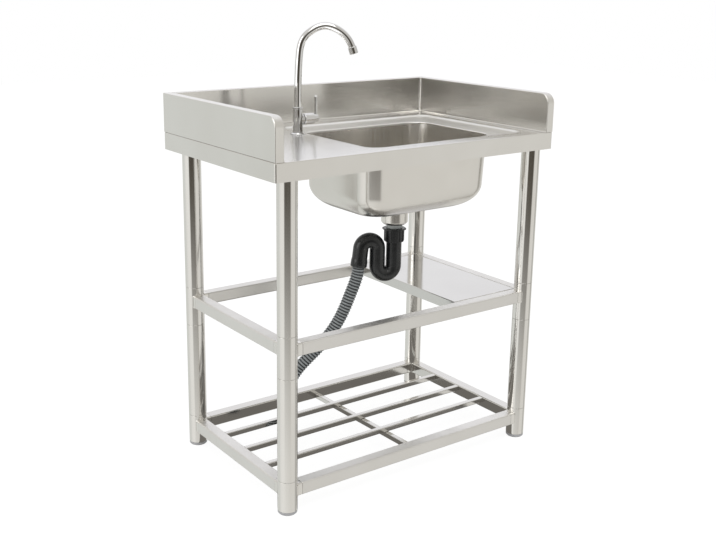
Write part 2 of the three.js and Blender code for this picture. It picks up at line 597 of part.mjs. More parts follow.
// Stations round a bend about a centre, from one angle to another.
function bendStations(reach, height, radius, from, to) {
  const turn = Math.sign(to - from);
  return Array.from({ length: TRAP_BEND_STEPS + 1 }, (_, i) => {
    const angle = from + (i / TRAP_BEND_STEPS) * (to - from);
    const heading = angle + (turn * Math.PI) / 2;
    return [reach + radius * Math.cos(angle), height + radius * Math.sin(angle), heading];
  });
}

const trapRise = () =>
  bendStations(3 * TRAP_BEND_RADIUS, TRAP_HIGH_BEND, TRAP_BEND_RADIUS, Math.PI, TRAP_OUTLET_LEAN);

// A station on the straight outlet, at a distance beyond the upper bend.
function outletStation(length, ...radii) {
  const [reach, height, down] = trapRise().at(-1);
  return [reach + length * Math.cos(down), height + length * Math.sin(down), down, ...radii];
}

function trapPipe() {
  const [low, radius] = [TRAP_LOW_BEND, TRAP_BEND_RADIUS];
  const socket = TRAP_OUTLET_LENGTH - TRAP_SOCKET_LENGTH;
  const shoulder = socket + TRAP_SOCKET_FLARE;
  const stations = [
    [0, TRAP_TOP, -Math.PI / 2], ...bendStations(radius, low, radius, Math.PI, 2 * Math.PI).slice(0, -1),
    [2 * radius, low, Math.PI / 2], ...trapRise(), outletStation(socket),
    outletStation(shoulder, TRAP_SOCKET_RADIUS, HOSE_BORE_RADIUS),
    outletStation(TRAP_OUTLET_LENGTH, TRAP_SOCKET_RADIUS, HOSE_BORE_RADIUS),
  ];
  return uprightPipe(inDrainPlane, stations, TRAP_RADIUS, TRAP_RADIUS - TRAP_WALL);
}

function trapWasher() {
  return closed(pipe(
    WASHER_RADIUS, CUP_NECK_RADIUS + SEAT_GAP, WASHER_TOP - WASHER_THICKNESS, WASHER_TOP, WASTE_X, WASTE_Y));
}

function trapNut() {
  const bore = TRAP_RADIUS + SEAT_GAP;
  const bottom = TRAP_NUT_TOP - TRAP_NUT_HEIGHT;
  const wing = TRAP_NUT_TOP - TRAP_NUT_WING_HEIGHT;
  const profile = [
    [bore, bottom], [TRAP_NUT_RADIUS, bottom], [TRAP_NUT_RADIUS, wing], [TRAP_NUT_WING_RADIUS, wing],
    [TRAP_NUT_WING_RADIUS, TRAP_NUT_TOP], [bore, TRAP_NUT_TOP],
  ];
  const rib = (i) => {
    const outside = TRAP_NUT_RADIUS + TRAP_NUT_RIB_DEPTH;
    const halfRib = TRAP_NUT_RIB_WIDTH / 2;
    const foot = bottom + TRAP_NUT_RIB_DEPTH;
    const block = box(TRAP_NUT_RADIUS - TRAP_NUT_RIB_DEPTH, outside, -halfRib, halfRib, foot, wing);
    return solid(block.rotateZ((i / TRAP_NUT_RIBS) * 2 * Math.PI).translate(WASTE_X, WASTE_Y, 0));
  };
  const ribs = Array.from({ length: TRAP_NUT_RIBS }, (_, i) => rib(i));
  return surface(joined(solid(turned(profile, WASTE_X, WASTE_Y)), ...ribs));
}

// The points of the hose's centre line, from the trap's end down to the cuff.
function hoseRoute() {
  const [reach, height] = outletStation(TRAP_OUTLET_LENGTH + SEAT_GAP);
  const stretch = (height - CUFF_TOP - SEAT_GAP) / HOSE_ROUTE.at(-1)[1];
  return HOSE_ROUTE.map(([out, drop]) => inDrainPlane(reach + out, height - drop * stretch));
}

function drainHose() {
  const route = hoseRoute();
  const curve = new THREE.CatmullRomCurve3(route, false, 'centripetal');
  curve.arcLengthDivisions = 1200;
  const ribs = Math.floor(curve.getLength() / HOSE_RIB_PITCH);
  const steps = 2 * ribs;
  const frames = curve.computeFrenetFrames(steps, false);
  const ring = (step, radius) => Array.from({ length: HOSE_SIDES }, (_, k) => {
    const angle = (k / HOSE_SIDES) * 2 * Math.PI;
    return curve.getPointAt(step / steps)
      .addScaledVector(frames.normals[step], radius * Math.cos(angle))
      .addScaledVector(frames.binormals[step], radius * Math.sin(angle));
  });
  const outside = Array.from({ length: steps + 1 }, (_, step) =>
    ring(step, step % 2 === 0 ? HOSE_RADIUS : HOSE_RADIUS - HOSE_RIB_DEPTH));
  const bore = [];
  for (let step = 0; step < steps; step += 2 * RIBS_PER_BORE_RING) bore.push(ring(step, HOSE_BORE_RADIUS));
  bore.push(ring(steps, HOSE_BORE_RADIUS));
  return closed(loft([...outside, ...bore.reverse()]));
}

function hoseCuff() {
  const end = hoseRoute().at(-1);
  const bottom = CUFF_FLOOR_GAP;
  const edge = CUFF_RADIUS - HOSE_RADIUS;
  const profile = [
    [HOSE_BORE_RADIUS, bottom], [CUFF_RADIUS - edge / 2, bottom], [CUFF_RADIUS, bottom + edge / 2],
    [CUFF_RADIUS, CUFF_TOP - edge], [CUFF_RADIUS - edge / 2, CUFF_TOP], [HOSE_BORE_RADIUS, CUFF_TOP],
  ];
  return closed(turned(profile, end.x, end.y));
}

// ---- stand --------------------------------------------------------------------------------------
// The four corners, with the directions in which the rails leave them.
const CORNERS = [
  { name: 'front_left', x: LEG_LEFT, y: LEG_FRONT, towardX: 1, towardY: 1 },
  { name: 'front_right', x: LEG_RIGHT, y: LEG_FRONT, towardX: -1, towardY: 1 },
  { name: 'rear_left', x: LEG_LEFT, y: LEG_REAR, towardX: 1, towardY: -1 },
  { name: 'rear_right', x: LEG_RIGHT, y: LEG_REAR, towardX: -1, towardY: -1 },
];

function legSocket({ x, y }) {
  const profile = [
    [0, SOCKET_TOP - SOCKET_PLATE], [PLUG_RADIUS - SPIGOT_WALL, SOCKET_TOP - SOCKET_PLATE],
    [PLUG_RADIUS - SPIGOT_WALL, LEG_TOP - SOCKET_LENGTH], [PLUG_RADIUS, LEG_TOP - SOCKET_LENGTH],
    [PLUG_RADIUS, SOCKET_TOP - SOCKET_PLATE], [LEG_RADIUS, SOCKET_TOP - SOCKET_PLATE],
    [LEG_RADIUS, SOCKET_TOP], [0, SOCKET_TOP],
  ];
  return closed(turned(profile, x, y, LEG_SIDES));
}

const legTube = ({ x, y }, bottom, top) =>
  closed(pipe(LEG_RADIUS, LEG_BORE, bottom, top, x, y, LEG_SIDES));

// One arm of a connector: a short square stub that shows, and a plug inside the rail.
function arm(axis, { x, y, towardX, towardY }, height) {
  const [along, toward, across] = axis === 'x' ? [x, towardX, y] : [y, towardY, x];
  const span = (near, far) => [along + toward * near, along + toward * far].sort((a, b) => a - b);
  const plug = RAIL_SIZE / 2 - RAIL_WALL - ARM_PLUG_CLEARANCE;
  const plugEnd = ARM_REACH + ARM_PLUG_LENGTH;
  const insert = (half, [from, to]) => solid(axis === 'x'
    ? box(from, to, across - half, across + half, height - half, height + half)
    : box(across - half, across + half, from, to, height - half, height + half));
  return {
    metal: solid(squareBar(axis, ...span(0, ARM_REACH), across, height, RAIL_SIZE, RAIL_CORNER_RADIUS))
      .add(insert(plug, span(0, plugEnd))),
    hollow: insert(plug - ARM_WALL, span(0, plugEnd + ARM_WALL)),
  };
}

function connector(corner, railTop, profile, bore, low, high) {
  const height = railTop - RAIL_SIZE / 2;
  const arms = ['x', 'y'].map((axis) => arm(axis, corner, height));
  const sleeve = solid(turned(profile, corner.x, corner.y, LEG_SIDES));
  const tube = solid(rod(bore, low, high, corner.x, corner.y, LEG_SIDES));
  return cut(joined(sleeve, arms[0].metal, arms[1].metal), arms[0].hollow, arms[1].hollow, tube);
}

function midConnector(corner) {
  const [low, high] = [MID_SLEEVE_BOTTOM - SPIGOT_LENGTH, MID_SLEEVE_TOP + SPIGOT_LENGTH];
  const profile = [
    [0, low], [PLUG_RADIUS, low], [PLUG_RADIUS, MID_SLEEVE_BOTTOM], [LEG_RADIUS, MID_SLEEVE_BOTTOM],
    [LEG_RADIUS, MID_SLEEVE_TOP], [PLUG_RADIUS, MID_SLEEVE_TOP], [PLUG_RADIUS, high], [0, high],
  ];
  return surface(connector(corner, MID_RAIL_TOP, profile, PLUG_RADIUS - SPIGOT_WALL, low - 1, high + 1));
}

function baseConnector(corner) {
  const low = FOOT_HEIGHT + SEAT_GAP;
  const high = BASE_SLEEVE_TOP + SPIGOT_LENGTH;
  const profile = [
    [0, low], [LEG_RADIUS, low], [LEG_RADIUS, BASE_SLEEVE_TOP], [PLUG_RADIUS, BASE_SLEEVE_TOP],
    [PLUG_RADIUS, high], [0, high],
  ];
  const body = connector(corner, BASE_RAIL_TOP, profile, PLUG_RADIUS - SPIGOT_WALL, low - 1, high + 1);
  const footBore = rod(LEG_BORE, low - 1, FOOT_HEIGHT + FOOT_PLUG_LENGTH + 1, corner.x, corner.y, LEG_SIDES);
  return surface(body.subtract(solid(footBore)));
}

function foot({ x, y }) {
  const edge = FOOT_EDGE_RADIUS;
  const curve = [0, 45, 90].map((degrees) => {
    const angle = THREE.MathUtils.degToRad(degrees);
    return [LEG_RADIUS - edge + edge * Math.sin(angle), edge - edge * Math.cos(angle)];
  });
  const top = FOOT_HEIGHT + FOOT_PLUG_LENGTH;
  const profile = [
    [0, 0], ...curve, [LEG_RADIUS, FOOT_HEIGHT], [PLUG_RADIUS, FOOT_HEIGHT], [PLUG_RADIUS, top], [0, top],
  ];
  return closed(turned(profile, x, y, LEG_SIDES));
}

function rail(axis, across, railTop) {
  const [low, high] = axis === 'x' ? [LEG_LEFT, LEG_RIGHT] : [LEG_FRONT, LEG_REAR];
  const end = ARM_REACH + SEAT_GAP;
  return closed(squareBar(
    axis, low + end, high - end, across, railTop - RAIL_SIZE / 2, RAIL_SIZE, RAIL_CORNER_RADIUS, RAIL_WALL));
}

function halfShelf() {
  const clear = RAIL_SIZE / 2 + SEAT_GAP;
  const [x0, x1] = [SHELF_LEFT, LEG_RIGHT - clear];
  const [y0, y1] = [LEG_FRONT + clear, LEG_REAR - clear];
  const bottom = MID_RAIL_TOP - SHELF_FOLD;
  const tray = cut(
    solid(box(x0, x1, y0, y1, bottom, MID_RAIL_TOP)),
    solid(box(x0 + SHEET, x1 - SHEET, y0 + SHEET, y1 - SHEET, bottom - SHEET, MID_RAIL_TOP - SHEET)));
  const legs = CORNERS.filter(({ towardX }) => towardX < 0).map(({ x, y }) =>
    solid(rod(LEG_RADIUS + SEAT_GAP, bottom - SHEET, MID_RAIL_TOP + SHEET, x, y, LEG_SIDES)));
  return surface(cut(tray, ...legs));
}

function rackBar(index) {
  const end = RAIL_SIZE / 2 + SEAT_GAP;
  const across = RACK_MIDDLE + (index - (BAR_COUNT - 1) / 2) * BAR_PITCH;
  return closed(squareBar(
    'x', LEG_LEFT + end, LEG_RIGHT - end, across, RACK_TOP - BAR_SIZE / 2, BAR_SIZE, BAR_WALL, BAR_WALL));
}

function rackCrossBar() {
  const corner = Math.sin(CROSS_BAR_TURN) * BAR_SIZE / 2;
  const half = (LEG_REAR - LEG_FRONT) / 2 - RAIL_SIZE / 2 - SEAT_GAP - corner;
  const height = RACK_TOP - BAR_SIZE - SEAT_GAP - BAR_SIZE / 2;
  const bar = squareBar('y', -half, half, 0, height, BAR_SIZE, BAR_WALL, BAR_WALL);
  return closed(bar.rotateZ(CROSS_BAR_TURN).translate(CROSS_BAR_X, RACK_MIDDLE, 0));
}

// ---- tap ----------------------------------------------------------------------------------------
const TAP_SEAT = WORKTOP_HEIGHT + SEAT_GAP;
const TAP_FOOT = TAP_SEAT + TAP_FLANGE_HEIGHT + SEAT_GAP;
const TAP_BODY_TOP = TAP_FOOT + TAP_BODY_HEIGHT;
const VALVE_AXIS = WORKTOP_HEIGHT + VALVE_HEIGHT;
const SPOUT_FOOT = TAP_BODY_TOP + TAP_COLLAR_HEIGHT - SPOUT_SOCKET_DEPTH + SEAT_GAP;

function tapFlange() {
  const top = TAP_SEAT + TAP_FLANGE_HEIGHT;
  const bore = SHANK_RADIUS + SEAT_GAP;
  const profile = [
    [bore, TAP_SEAT], [TAP_FLANGE_RADIUS, TAP_SEAT], [TAP_FLANGE_RADIUS, TAP_SEAT + TAP_FLANGE_HEIGHT / 3],
    [TAP_FLANGE_RADIUS - TAP_FLANGE_HEIGHT, top], [bore, top],
  ];
  return closed(turned(profile, TAP_X, TAP_Y));
}

function tapBody() {
  const top = TAP_BODY_TOP + TAP_COLLAR_HEIGHT;
  const profile = [
    [0, TAP_FOOT], [TAP_BODY_RADIUS, TAP_FOOT], [TAP_BODY_RADIUS, TAP_BODY_TOP],
    [TAP_COLLAR_RADIUS, TAP_BODY_TOP], [TAP_COLLAR_RADIUS, top], [0, top],
  ];
  const boss = turnedAlongX(
    [[0, 0], [TAP_BODY_RADIUS - 1, 0], [TAP_BODY_RADIUS - 1, VALVE_BOSS_REACH], [0, VALVE_BOSS_REACH]],
    TAP_X, TAP_Y, VALVE_AXIS);
  const waterway = rod(SPOUT_BORE_RADIUS, TAP_FOOT - 1, top + 1, TAP_X, TAP_Y);
  const socket = rod(SPOUT_RADIUS + SEAT_GAP, top - SPOUT_SOCKET_DEPTH, top + 1, TAP_X, TAP_Y);
  const inlet = rod(SHANK_RADIUS + SEAT_GAP, TAP_FOOT - 1, TAP_FOOT + SHANK_IN_BODY + SEAT_GAP, TAP_X, TAP_Y);
  return surface(cut(
    solid(turned(profile, TAP_X, TAP_Y)).add(solid(boss)), solid(waterway), solid(socket), solid(inlet)));
}

function tapValve() {
  const from = VALVE_BOSS_REACH + SEAT_GAP;
  const bore = VALVE_STEM_RADIUS + SEAT_GAP;
  const seat = VALVE_REACH - VALVE_STEM_LENGTH - SEAT_GAP;
  const profile = [
    [0, from], [VALVE_RADIUS - 1, from], [VALVE_RADIUS, from + 1], [VALVE_RADIUS, VALVE_REACH - 1],
    [VALVE_RADIUS - 1, VALVE_REACH], [bore, VALVE_REACH], [bore, seat], [0, seat],
  ];
  return closed(turnedAlongX(profile, TAP_X, TAP_Y, VALVE_AXIS));
}

function tapLever() {
  const from = VALVE_REACH + SEAT_GAP;
  const tip = VALVE_AXIS + LEVER_LENGTH;
  const profile = [
    [0, from - VALVE_STEM_LENGTH], [VALVE_STEM_RADIUS, from - VALVE_STEM_LENGTH], [VALVE_STEM_RADIUS, from],
    [HUB_RADIUS, from], [HUB_RADIUS, HUB_REACH - 1], [HUB_RADIUS - 1, HUB_REACH], [0, HUB_REACH],
  ];
  const round = LEVER_RADIUS / 2;
  const stem = turned(
    [[0, VALVE_AXIS], [LEVER_RADIUS, VALVE_AXIS], [LEVER_RADIUS, tip - round], [round, tip], [0, tip]],
    TAP_X + HUB_REACH - LEVER_END_MARGIN, TAP_Y, HOLE_SIDES);
  return surface(solid(turnedAlongX(profile, TAP_X, TAP_Y, VALVE_AXIS)).add(solid(stem)));
}

function inSpoutPlane(reach, height) {
  const [x, y] = [reach * Math.cos(SPOUT_HEADING), reach * Math.sin(SPOUT_HEADING)];
  return new THREE.Vector3(TAP_X + x, TAP_Y + y, WORKTOP_HEIGHT + height);
}

// The stations of the spout: at each point the line runs along the arc through its two neighbours.
function spoutStations() {
  const foot = [0, SPOUT_FOOT - WORKTOP_HEIGHT];
  const points = [foot, ...SPOUT_ROUTE].map(([reach, height]) => new THREE.Vector2(reach, height));
  const heading = (from, to) => to.clone().sub(from).angle();
  return points.map((point, i) => {
    if (i === 0) return [point.x, point.y, Math.PI / 2];
    const before = heading(points[i - 1], point);
    if (i === points.length - 1) return [point.x, point.y, before];
    const turn = heading(point, points[i + 1]) - before;
    const swing = THREE.MathUtils.euclideanModulo(turn + Math.PI, 2 * Math.PI) - Math.PI;
    const [near, far] = [point.distanceTo(points[i - 1]), point.distanceTo(points[i + 1])];
    return [point.x, point.y, before + (near / (near + far)) * swing];
  });
}

const tapSpout = () => uprightPipe(inSpoutPlane, spoutStations(), SPOUT_RADIUS, SPOUT_BORE_RADIUS);

// The aerator's axis follows the end of the spout: its profile starts at the end face, facing back.
function tapAerator() {
  const bore = SPOUT_RADIUS + SEAT_GAP;
  const nose = AERATOR_LENGTH - AERATOR_OVERLAP;
  const profile = [
    [AERATOR_BORE_RADIUS, 0], [AERATOR_RADIUS - 0.5, 0], [AERATOR_RADIUS, 0.5],
    [AERATOR_RADIUS, AERATOR_LENGTH], [bore, AERATOR_LENGTH], [bore, nose], [AERATOR_BORE_RADIUS, nose],
  ];
  const [reach, height, angle] = spoutStations().at(-1);
  const end = inSpoutPlane(reach, height);
  const tangent = inSpoutPlane(reach + Math.cos(angle), height + Math.sin(angle)).sub(end);
  const face = end.clone().addScaledVector(tangent, nose + SEAT_GAP);
  const up = new THREE.Vector3(0, 0, 1);
  const turn = new THREE.Quaternion().setFromUnitVectors(up, tangent.clone().negate());
  return closed(turned(profile).applyQuaternion(turn).translate(face.x, face.y, face.z));
}

function tapShank() {
  const top = TAP_FOOT + SHANK_IN_BODY;
  return closed(pipe(SHANK_RADIUS, SHANK_BORE_RADIUS, WORKTOP_HEIGHT - SHANK_BELOW, top, TAP_X, TAP_Y));
}

function tapNut() {
  const top = DECK_UNDERSIDE - SEAT_GAP;
  const hexagon = solid(rod(TAP_NUT_RADIUS, top - TAP_NUT_HEIGHT, top, TAP_X, TAP_Y, 6));
  const collar = solid(rod(TAP_NUT_FLANGE_RADIUS, top - TAP_NUT_FLANGE_HEIGHT, top, TAP_X, TAP_Y));
  const bore = solid(rod(SHANK_RADIUS + SEAT_GAP, top - TAP_NUT_HEIGHT - 1, top + 1, TAP_X, TAP_Y));
  return surface(cut(joined(hexagon, collar), bore));
}

// ---- assembly -----------------------------------------------------------------------------------
const sinkUnit = new THREE.Group();

function place(name, geometry, material) {
  const mesh = new THREE.Mesh(geometry, material);
  mesh.name = name;
  sinkUnit.add(mesh);
}

place('worktop', worktop(), BRUSHED);
place('left_upstand', sideUpstand(-HALF_WIDTH), BRUSHED);
place('right_upstand', sideUpstand(HALF_WIDTH - UPSTAND_THICKNESS), BRUSHED);
place('rear_upstand', rearUpstand(), BRUSHED);
place('sink_bowl', sinkBowl(), BRUSHED);

place('waste_flange', wasteFlange(), POLISHED);
place('strainer_basket', strainerBasket(), POLISHED);
place('waste_seal', wasteSeal(), GREY_RUBBER);
place('waste_cup', wasteCup(), BRUSHED);
place('waste_screw', wasteScrew(), POLISHED);
place('trap_washer', trapWasher(), GREY_RUBBER);
place('trap_nut', trapNut(), BLACK_PLASTIC);
place('trap_pipe', trapPipe(), BLACK_PLASTIC);
place('drain_hose', drainHose(), GREY_PLASTIC);
place('hose_cuff', hoseCuff(), GREY_PLASTIC);

for (const corner of CORNERS) {
  place(`leg_socket_${corner.name}`, legSocket(corner), BRUSHED);
  place(`upper_leg_${corner.name}`, legTube(corner, MID_SLEEVE_TOP + SEAT_GAP, LEG_TOP), POLISHED);
  place(`mid_connector_${corner.name}`, midConnector(corner), POLISHED);
  place(`lower_leg_${corner.name}`, legTube(
    corner, BASE_SLEEVE_TOP + SEAT_GAP, MID_SLEEVE_BOTTOM - SEAT_GAP), POLISHED);
  place(`base_connector_${corner.name}`, baseConnector(corner), POLISHED);
  place(`foot_${corner.name}`, foot(corner), FOOT_PLASTIC);
}
for (const [level, top] of [['mid', MID_RAIL_TOP], ['base', BASE_RAIL_TOP]]) {
  place(`${level}_rail_front`, rail('x', LEG_FRONT, top), POLISHED);
  place(`${level}_rail_rear`, rail('x', LEG_REAR, top), POLISHED);
  place(`${level}_rail_left`, rail('y', LEG_LEFT, top), POLISHED);
  place(`${level}_rail_right`, rail('y', LEG_RIGHT, top), POLISHED);
}
place('half_shelf', halfShelf(), POLISHED);
['front', 'middle', 'rear'].forEach((name, index) => place(`rack_bar_${name}`, rackBar(index), POLISHED));
place('rack_cross_bar', rackCrossBar(), POLISHED);

place('tap_flange', tapFlange(), CHROME);
place('tap_body', tapBody(), CHROME);
place('tap_valve', tapValve(), CHROME);
place('tap_lever', tapLever(), CHROME);
place('tap_spout', tapSpout(), CHROME);
place('tap_aerator', tapAerator(), CHROME);
place('tap_shank', tapShank(), CHROME);
place('tap_nut', tapNut(), CHROME);

export default sinkUnit;
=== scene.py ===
"""Looks of the steel sink unit. Lengths are millimetres until a mesh is made, in the part's frame:
+X to the right along the front, +Y to the back, +Z up, origin on the floor under the worktop."""

import math

import bmesh
import bpy
from mathutils import Matrix, Vector


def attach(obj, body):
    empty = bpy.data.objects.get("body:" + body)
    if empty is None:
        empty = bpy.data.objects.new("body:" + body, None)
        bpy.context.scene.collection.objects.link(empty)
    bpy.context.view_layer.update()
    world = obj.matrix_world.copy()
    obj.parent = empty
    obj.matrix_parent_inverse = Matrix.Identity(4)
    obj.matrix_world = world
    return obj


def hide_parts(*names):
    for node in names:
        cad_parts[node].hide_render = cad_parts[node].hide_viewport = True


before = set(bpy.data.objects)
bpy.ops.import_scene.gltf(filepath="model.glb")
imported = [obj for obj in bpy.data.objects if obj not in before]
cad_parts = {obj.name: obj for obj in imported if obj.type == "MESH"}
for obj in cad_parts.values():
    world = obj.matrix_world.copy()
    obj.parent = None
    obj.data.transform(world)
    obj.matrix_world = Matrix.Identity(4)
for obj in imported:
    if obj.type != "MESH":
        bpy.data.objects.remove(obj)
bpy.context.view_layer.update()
MM = 0.001
HULL = "sink_unit"


def new_object(name, data):
    """An object of the given data, in the scene."""
    obj = bpy.data.objects.new(name, data)
    bpy.context.scene.collection.objects.link(obj)
    return obj


# ---- camera ---------------------------------------------------------------------------------------
IMAGE_WIDTH, IMAGE_HEIGHT = 716, 540
FOCAL_PIXELS = 1010.65
CENTRE_X, CENTRE_Y = 323.8, 230.2
CAMERA_PLACE = (-1462.9, -1943.6, 1165.7)
CAMERA_YAW = math.radians(34.936)     # from +Y towards +X
CAMERA_PITCH = math.radians(-14.122)
CAMERA_ROLL = math.radians(0.444)


def make_camera():
    data = bpy.data.cameras.new("camera")
    data.sensor_width = 36
    data.lens = FOCAL_PIXELS / IMAGE_WIDTH * data.sensor_width
    data.shift_x = (IMAGE_WIDTH / 2 - CENTRE_X) / IMAGE_WIDTH
    data.shift_y = (CENTRE_Y - IMAGE_HEIGHT / 2) / IMAGE_WIDTH
    data.clip_start, data.clip_end = 0.05, 60
    camera = new_object("camera", data)
    cos_pitch = math.cos(CAMERA_PITCH)
    forward = Vector((math.sin(CAMERA_YAW) * cos_pitch, math.cos(CAMERA_YAW) * cos_pitch,
                      math.sin(CAMERA_PITCH)))
    right = Vector((math.cos(CAMERA_YAW), -math.sin(CAMERA_YAW), 0))
    up = right.cross(forward)
    turned_right = math.cos(CAMERA_ROLL) * right + math.sin(CAMERA_ROLL) * up
    turned_up = math.cos(CAMERA_ROLL) * up - math.sin(CAMERA_ROLL) * right
    axes = Matrix((turned_right, turned_up, -forward)).transposed()
    camera.matrix_world = Matrix.Translation(Vector(CAMERA_PLACE) * MM) @ axes.to_4x4()
    bpy.context.scene.camera = camera


make_camera()

# ---- dimensions, as in the solids -----------------------------------------------------------------
GAP = 0.3
HALF_WIDTH, HALF_DEPTH, TOP = 400, 250, 800
APRON, SHEET = 41, 1.2
UPSTAND, UPSTAND_THICK, NOSE = 94, 22, 25
COVE, CORNER_BEND = 4.5, 7           # radii of the upstands' inner corners, level and upright
CORNER_STEPS = 14                    # faces round each corner of the worktop and the bowl
RECESS = (-121, 340, -206, 166)
RECESS_CORNER, RECESS_DEPTH = 24, 4
BOWL_X, BOWL_Y, BOWL_LENGTH, BOWL_WIDTH = 75, -47.5, 376, 281
BOWL_CORNER, BOWL_WALL_CORNER, BOWL_FLOOR_CORNER = 42, 45, 52
BOWL_ROUND, BOWL_DRAFT, BOWL_FALL = 56, 0.036, 3
BOWL_TOP = TOP - RECESS_DEPTH - SHEET - GAP
BOWL_BOTTOM = TOP - RECESS_DEPTH - 176
LIP = 4
WASTE_SEAT = BOWL_BOTTOM - BOWL_FALL - 3
WASTE_TOP = WASTE_SEAT + GAP + 1.2
THROAT, THROAT_BOTTOM = 30, WASTE_TOP - 18
CUP_TOP = WASTE_SEAT - 1 - 3 - 2 * GAP
CUP, CUP_SIDE_BOTTOM, CUP_NECK_TOP = 33.25, 578, 572
DRAIN_HEADING = math.radians(160)
TRAP, TRAP_BEND = 19.2, 21.5
TRAP_LOW, TRAP_HIGH, TRAP_LEAN = 465.5, 511, math.radians(6.5)
TRAP_OUTLET, TRAP_SOCKET, TRAP_FLARE, TRAP_SOCKET_RADIUS = 46, 22, 10, 20.6
NUT_HEIGHT = 34.5
NUT_TOP = CUP_NECK_TOP - GAP - 10 - GAP
HOSE, HOSE_BORE, RIB_PITCH, RIB_DEPTH = 16, 12.8, 7.6, 1.8
CUFF, CUFF_FLOOR_GAP = 18.5, 1
HOSE_START = (91.1, 467.4)
HOSE_ROUTE = [(HOSE_START[0] + out, HOSE_START[1] - drop) for out, drop in (
    (0, 0), (1.7, 15), (5.6, 31.3), (12.3, 50.6), (20.2, 70.7), (28.2, 91.1), (36.9, 111.5), (46.9, 131.7),
    (58.9, 151.9), (72.9, 171.4), (88.9, 190.4), (106.2, 208.6), (121.9, 223.9), (136.9, 238.4),
    (150.4, 252.5), (161.9, 267), (171.8, 283.4), (179.5, 302.4), (184.9, 324.4), (187.5, 347.4),
    (187.9, 370.4), (187.9, 397.4), (187.9, 425.1))]
LEG, LEG_WALL = 22.5, 1.2
LEG_X, LEG_FRONT, LEG_REAR = 355, -224, 198
LEGS = {f"{row}_{side}": (x, y, -1 if x > 0 else 1, -1 if y > 0 else 1)
        for row, y in (("front", LEG_FRONT), ("rear", LEG_REAR))
        for side, x in (("left", -LEG_X), ("right", LEG_X))}
LEG_TOP = TOP - SHEET - GAP - 2 - GAP
MID_TOP, MID_ABOVE, MID_BELOW = 400, 19.5, 46.5
BASE_TOP, BASE_ABOVE = 69, 12
RAIL, RAIL_ROUND, RAIL_WALL, STUB = 30, 4, 1.2, 8
FOOT_HEIGHT = 8
SHELF_LEFT, SHELF_FOLD = 138, 25
BAR, BAR_DROP, BAR_ROWS = 13, 2, (-109, -13, 83)
CROSS_X, CROSS_TURN = 10.5, math.radians(1.8)
TAP_X, TAP_Y = -145.5, 54
TAP_FOOT = TOP + GAP + 4 + GAP
TAP_BODY_TOP = TAP_FOOT + 56
TAP_FLANGE, TAP_BODY, TAP_COLLAR = 18, 12, 12.8
VALVE_Z, VALVE, VALVE_START, VALVE_END = TOP + 34.5, 13.3, 15.3, 44
HUB, HUB_END = 9.5, 56.5
LEVER, LEVER_LENGTH, LEVER_REACH = 4, 54, 51.5
AERATOR, AERATOR_LENGTH = 10.5, 17
SPOUT, SPOUT_BORE, SPOUT_HEADING = 8.6, 7, math.radians(-27)
SPOUT_ROUTE = [
    (0, 42.9), (0, 80), (0.3, 112), (1.4, 150), (3, 178), (5.6, 202), (10.2, 218), (18.5, 231),
    (31, 241.3), (46, 249.6), (63.5, 253.4), (79, 250.9), (92, 245.6), (103, 238.6), (112.8, 229.8),
    (120.8, 219.6), (127.2, 207), (131.7, 193.7),
]


# ---- lines ----------------------------------------------------------------------------------------
def spline(points, spacing, fine=24):
    """Even points, about spacing apart, on the centripetal curve through the given ones."""
    points = [Vector(p) for p in points]
    points = [2 * points[0] - points[1], *points, 2 * points[-1] - points[-2]]
    dense = []
    for a, b, c, d in zip(points, points[1:], points[2:], points[3:]):
        t1 = math.sqrt((b - a).length)
        t2 = t1 + math.sqrt((c - b).length)
        t3 = t2 + math.sqrt((d - c).length)
        for i in range(fine):
            t = t1 + (t2 - t1) * i / fine
            ab = (t1 - t) / t1 * a + t / t1 * b
            bc = (t2 - t) / (t2 - t1) * b + (t - t1) / (t2 - t1) * c
            cd = (t3 - t) / (t3 - t2) * c + (t - t2) / (t3 - t2) * d
            abc = (t2 - t) / t2 * ab + t / t2 * bc
            bcd = (t3 - t) / (t3 - t1) * bc + (t - t1) / (t3 - t1) * cd
            dense.append((t2 - t) / (t2 - t1) * abc + (t - t1) / (t2 - t1) * bcd)
    dense.append(points[-2])
    reach = [0.0]
    for a, b in zip(dense, dense[1:]):
        reach.append(reach[-1] + (b - a).length)
    count = max(2, round(reach[-1] / spacing))
    even, j = [], 0
    for i in range(count + 1):
        want = reach[-1] * i / count
        while j < len(reach) - 2 and reach[j + 1] < want:
            j += 1
        share = (want - reach[j]) / max(reach[j + 1] - reach[j], 1e-9)
        even.append(dense[j].lerp(dense[j + 1], share))
    return even, reach[-1]


def rounded(corners, steps=4, wrap=True):
    """A polyline of (x, y, radius) corners with each corner turned into an arc."""
    line, count = [], len(corners)
    for i, (x, y, radius) in enumerate(corners):
        here = Vector((x, y))
        if radius <= 0 or (not wrap and i in (0, count - 1)):
            line.append((x, y))
            continue
        before = Vector(corners[i - 1][:2]) - here
        after = Vector(corners[(i + 1) % count][:2]) - here
        half = before.angle(after) / 2
        to_arc = min(radius / math.tan(half), before.length * 0.5, after.length * 0.5)
        radius = to_arc * math.tan(half)
        middle = here + (before.normalized() + after.normalized()).normalized() * radius / math.sin(half)
        start = here + before.normalized() * to_arc - middle
        end = here + after.normalized() * to_arc - middle
        sweep = start.angle_signed(end)
        for k in range(steps + 1):
            turn = -sweep * k / steps
            line.append((middle.x + start.x * math.cos(turn) - start.y * math.sin(turn),
                         middle.y + start.x * math.sin(turn) + start.y * math.cos(turn)))
    return line


def quarter(radius, steps):
    """The two insets of each point of a quarter round, from one of its ends to the other."""
    turns = [math.pi / 2 * k / steps for k in range(steps + 1)]
    return [(radius * (1 - math.sin(turn)), radius * (1 - math.cos(turn))) for turn in turns]


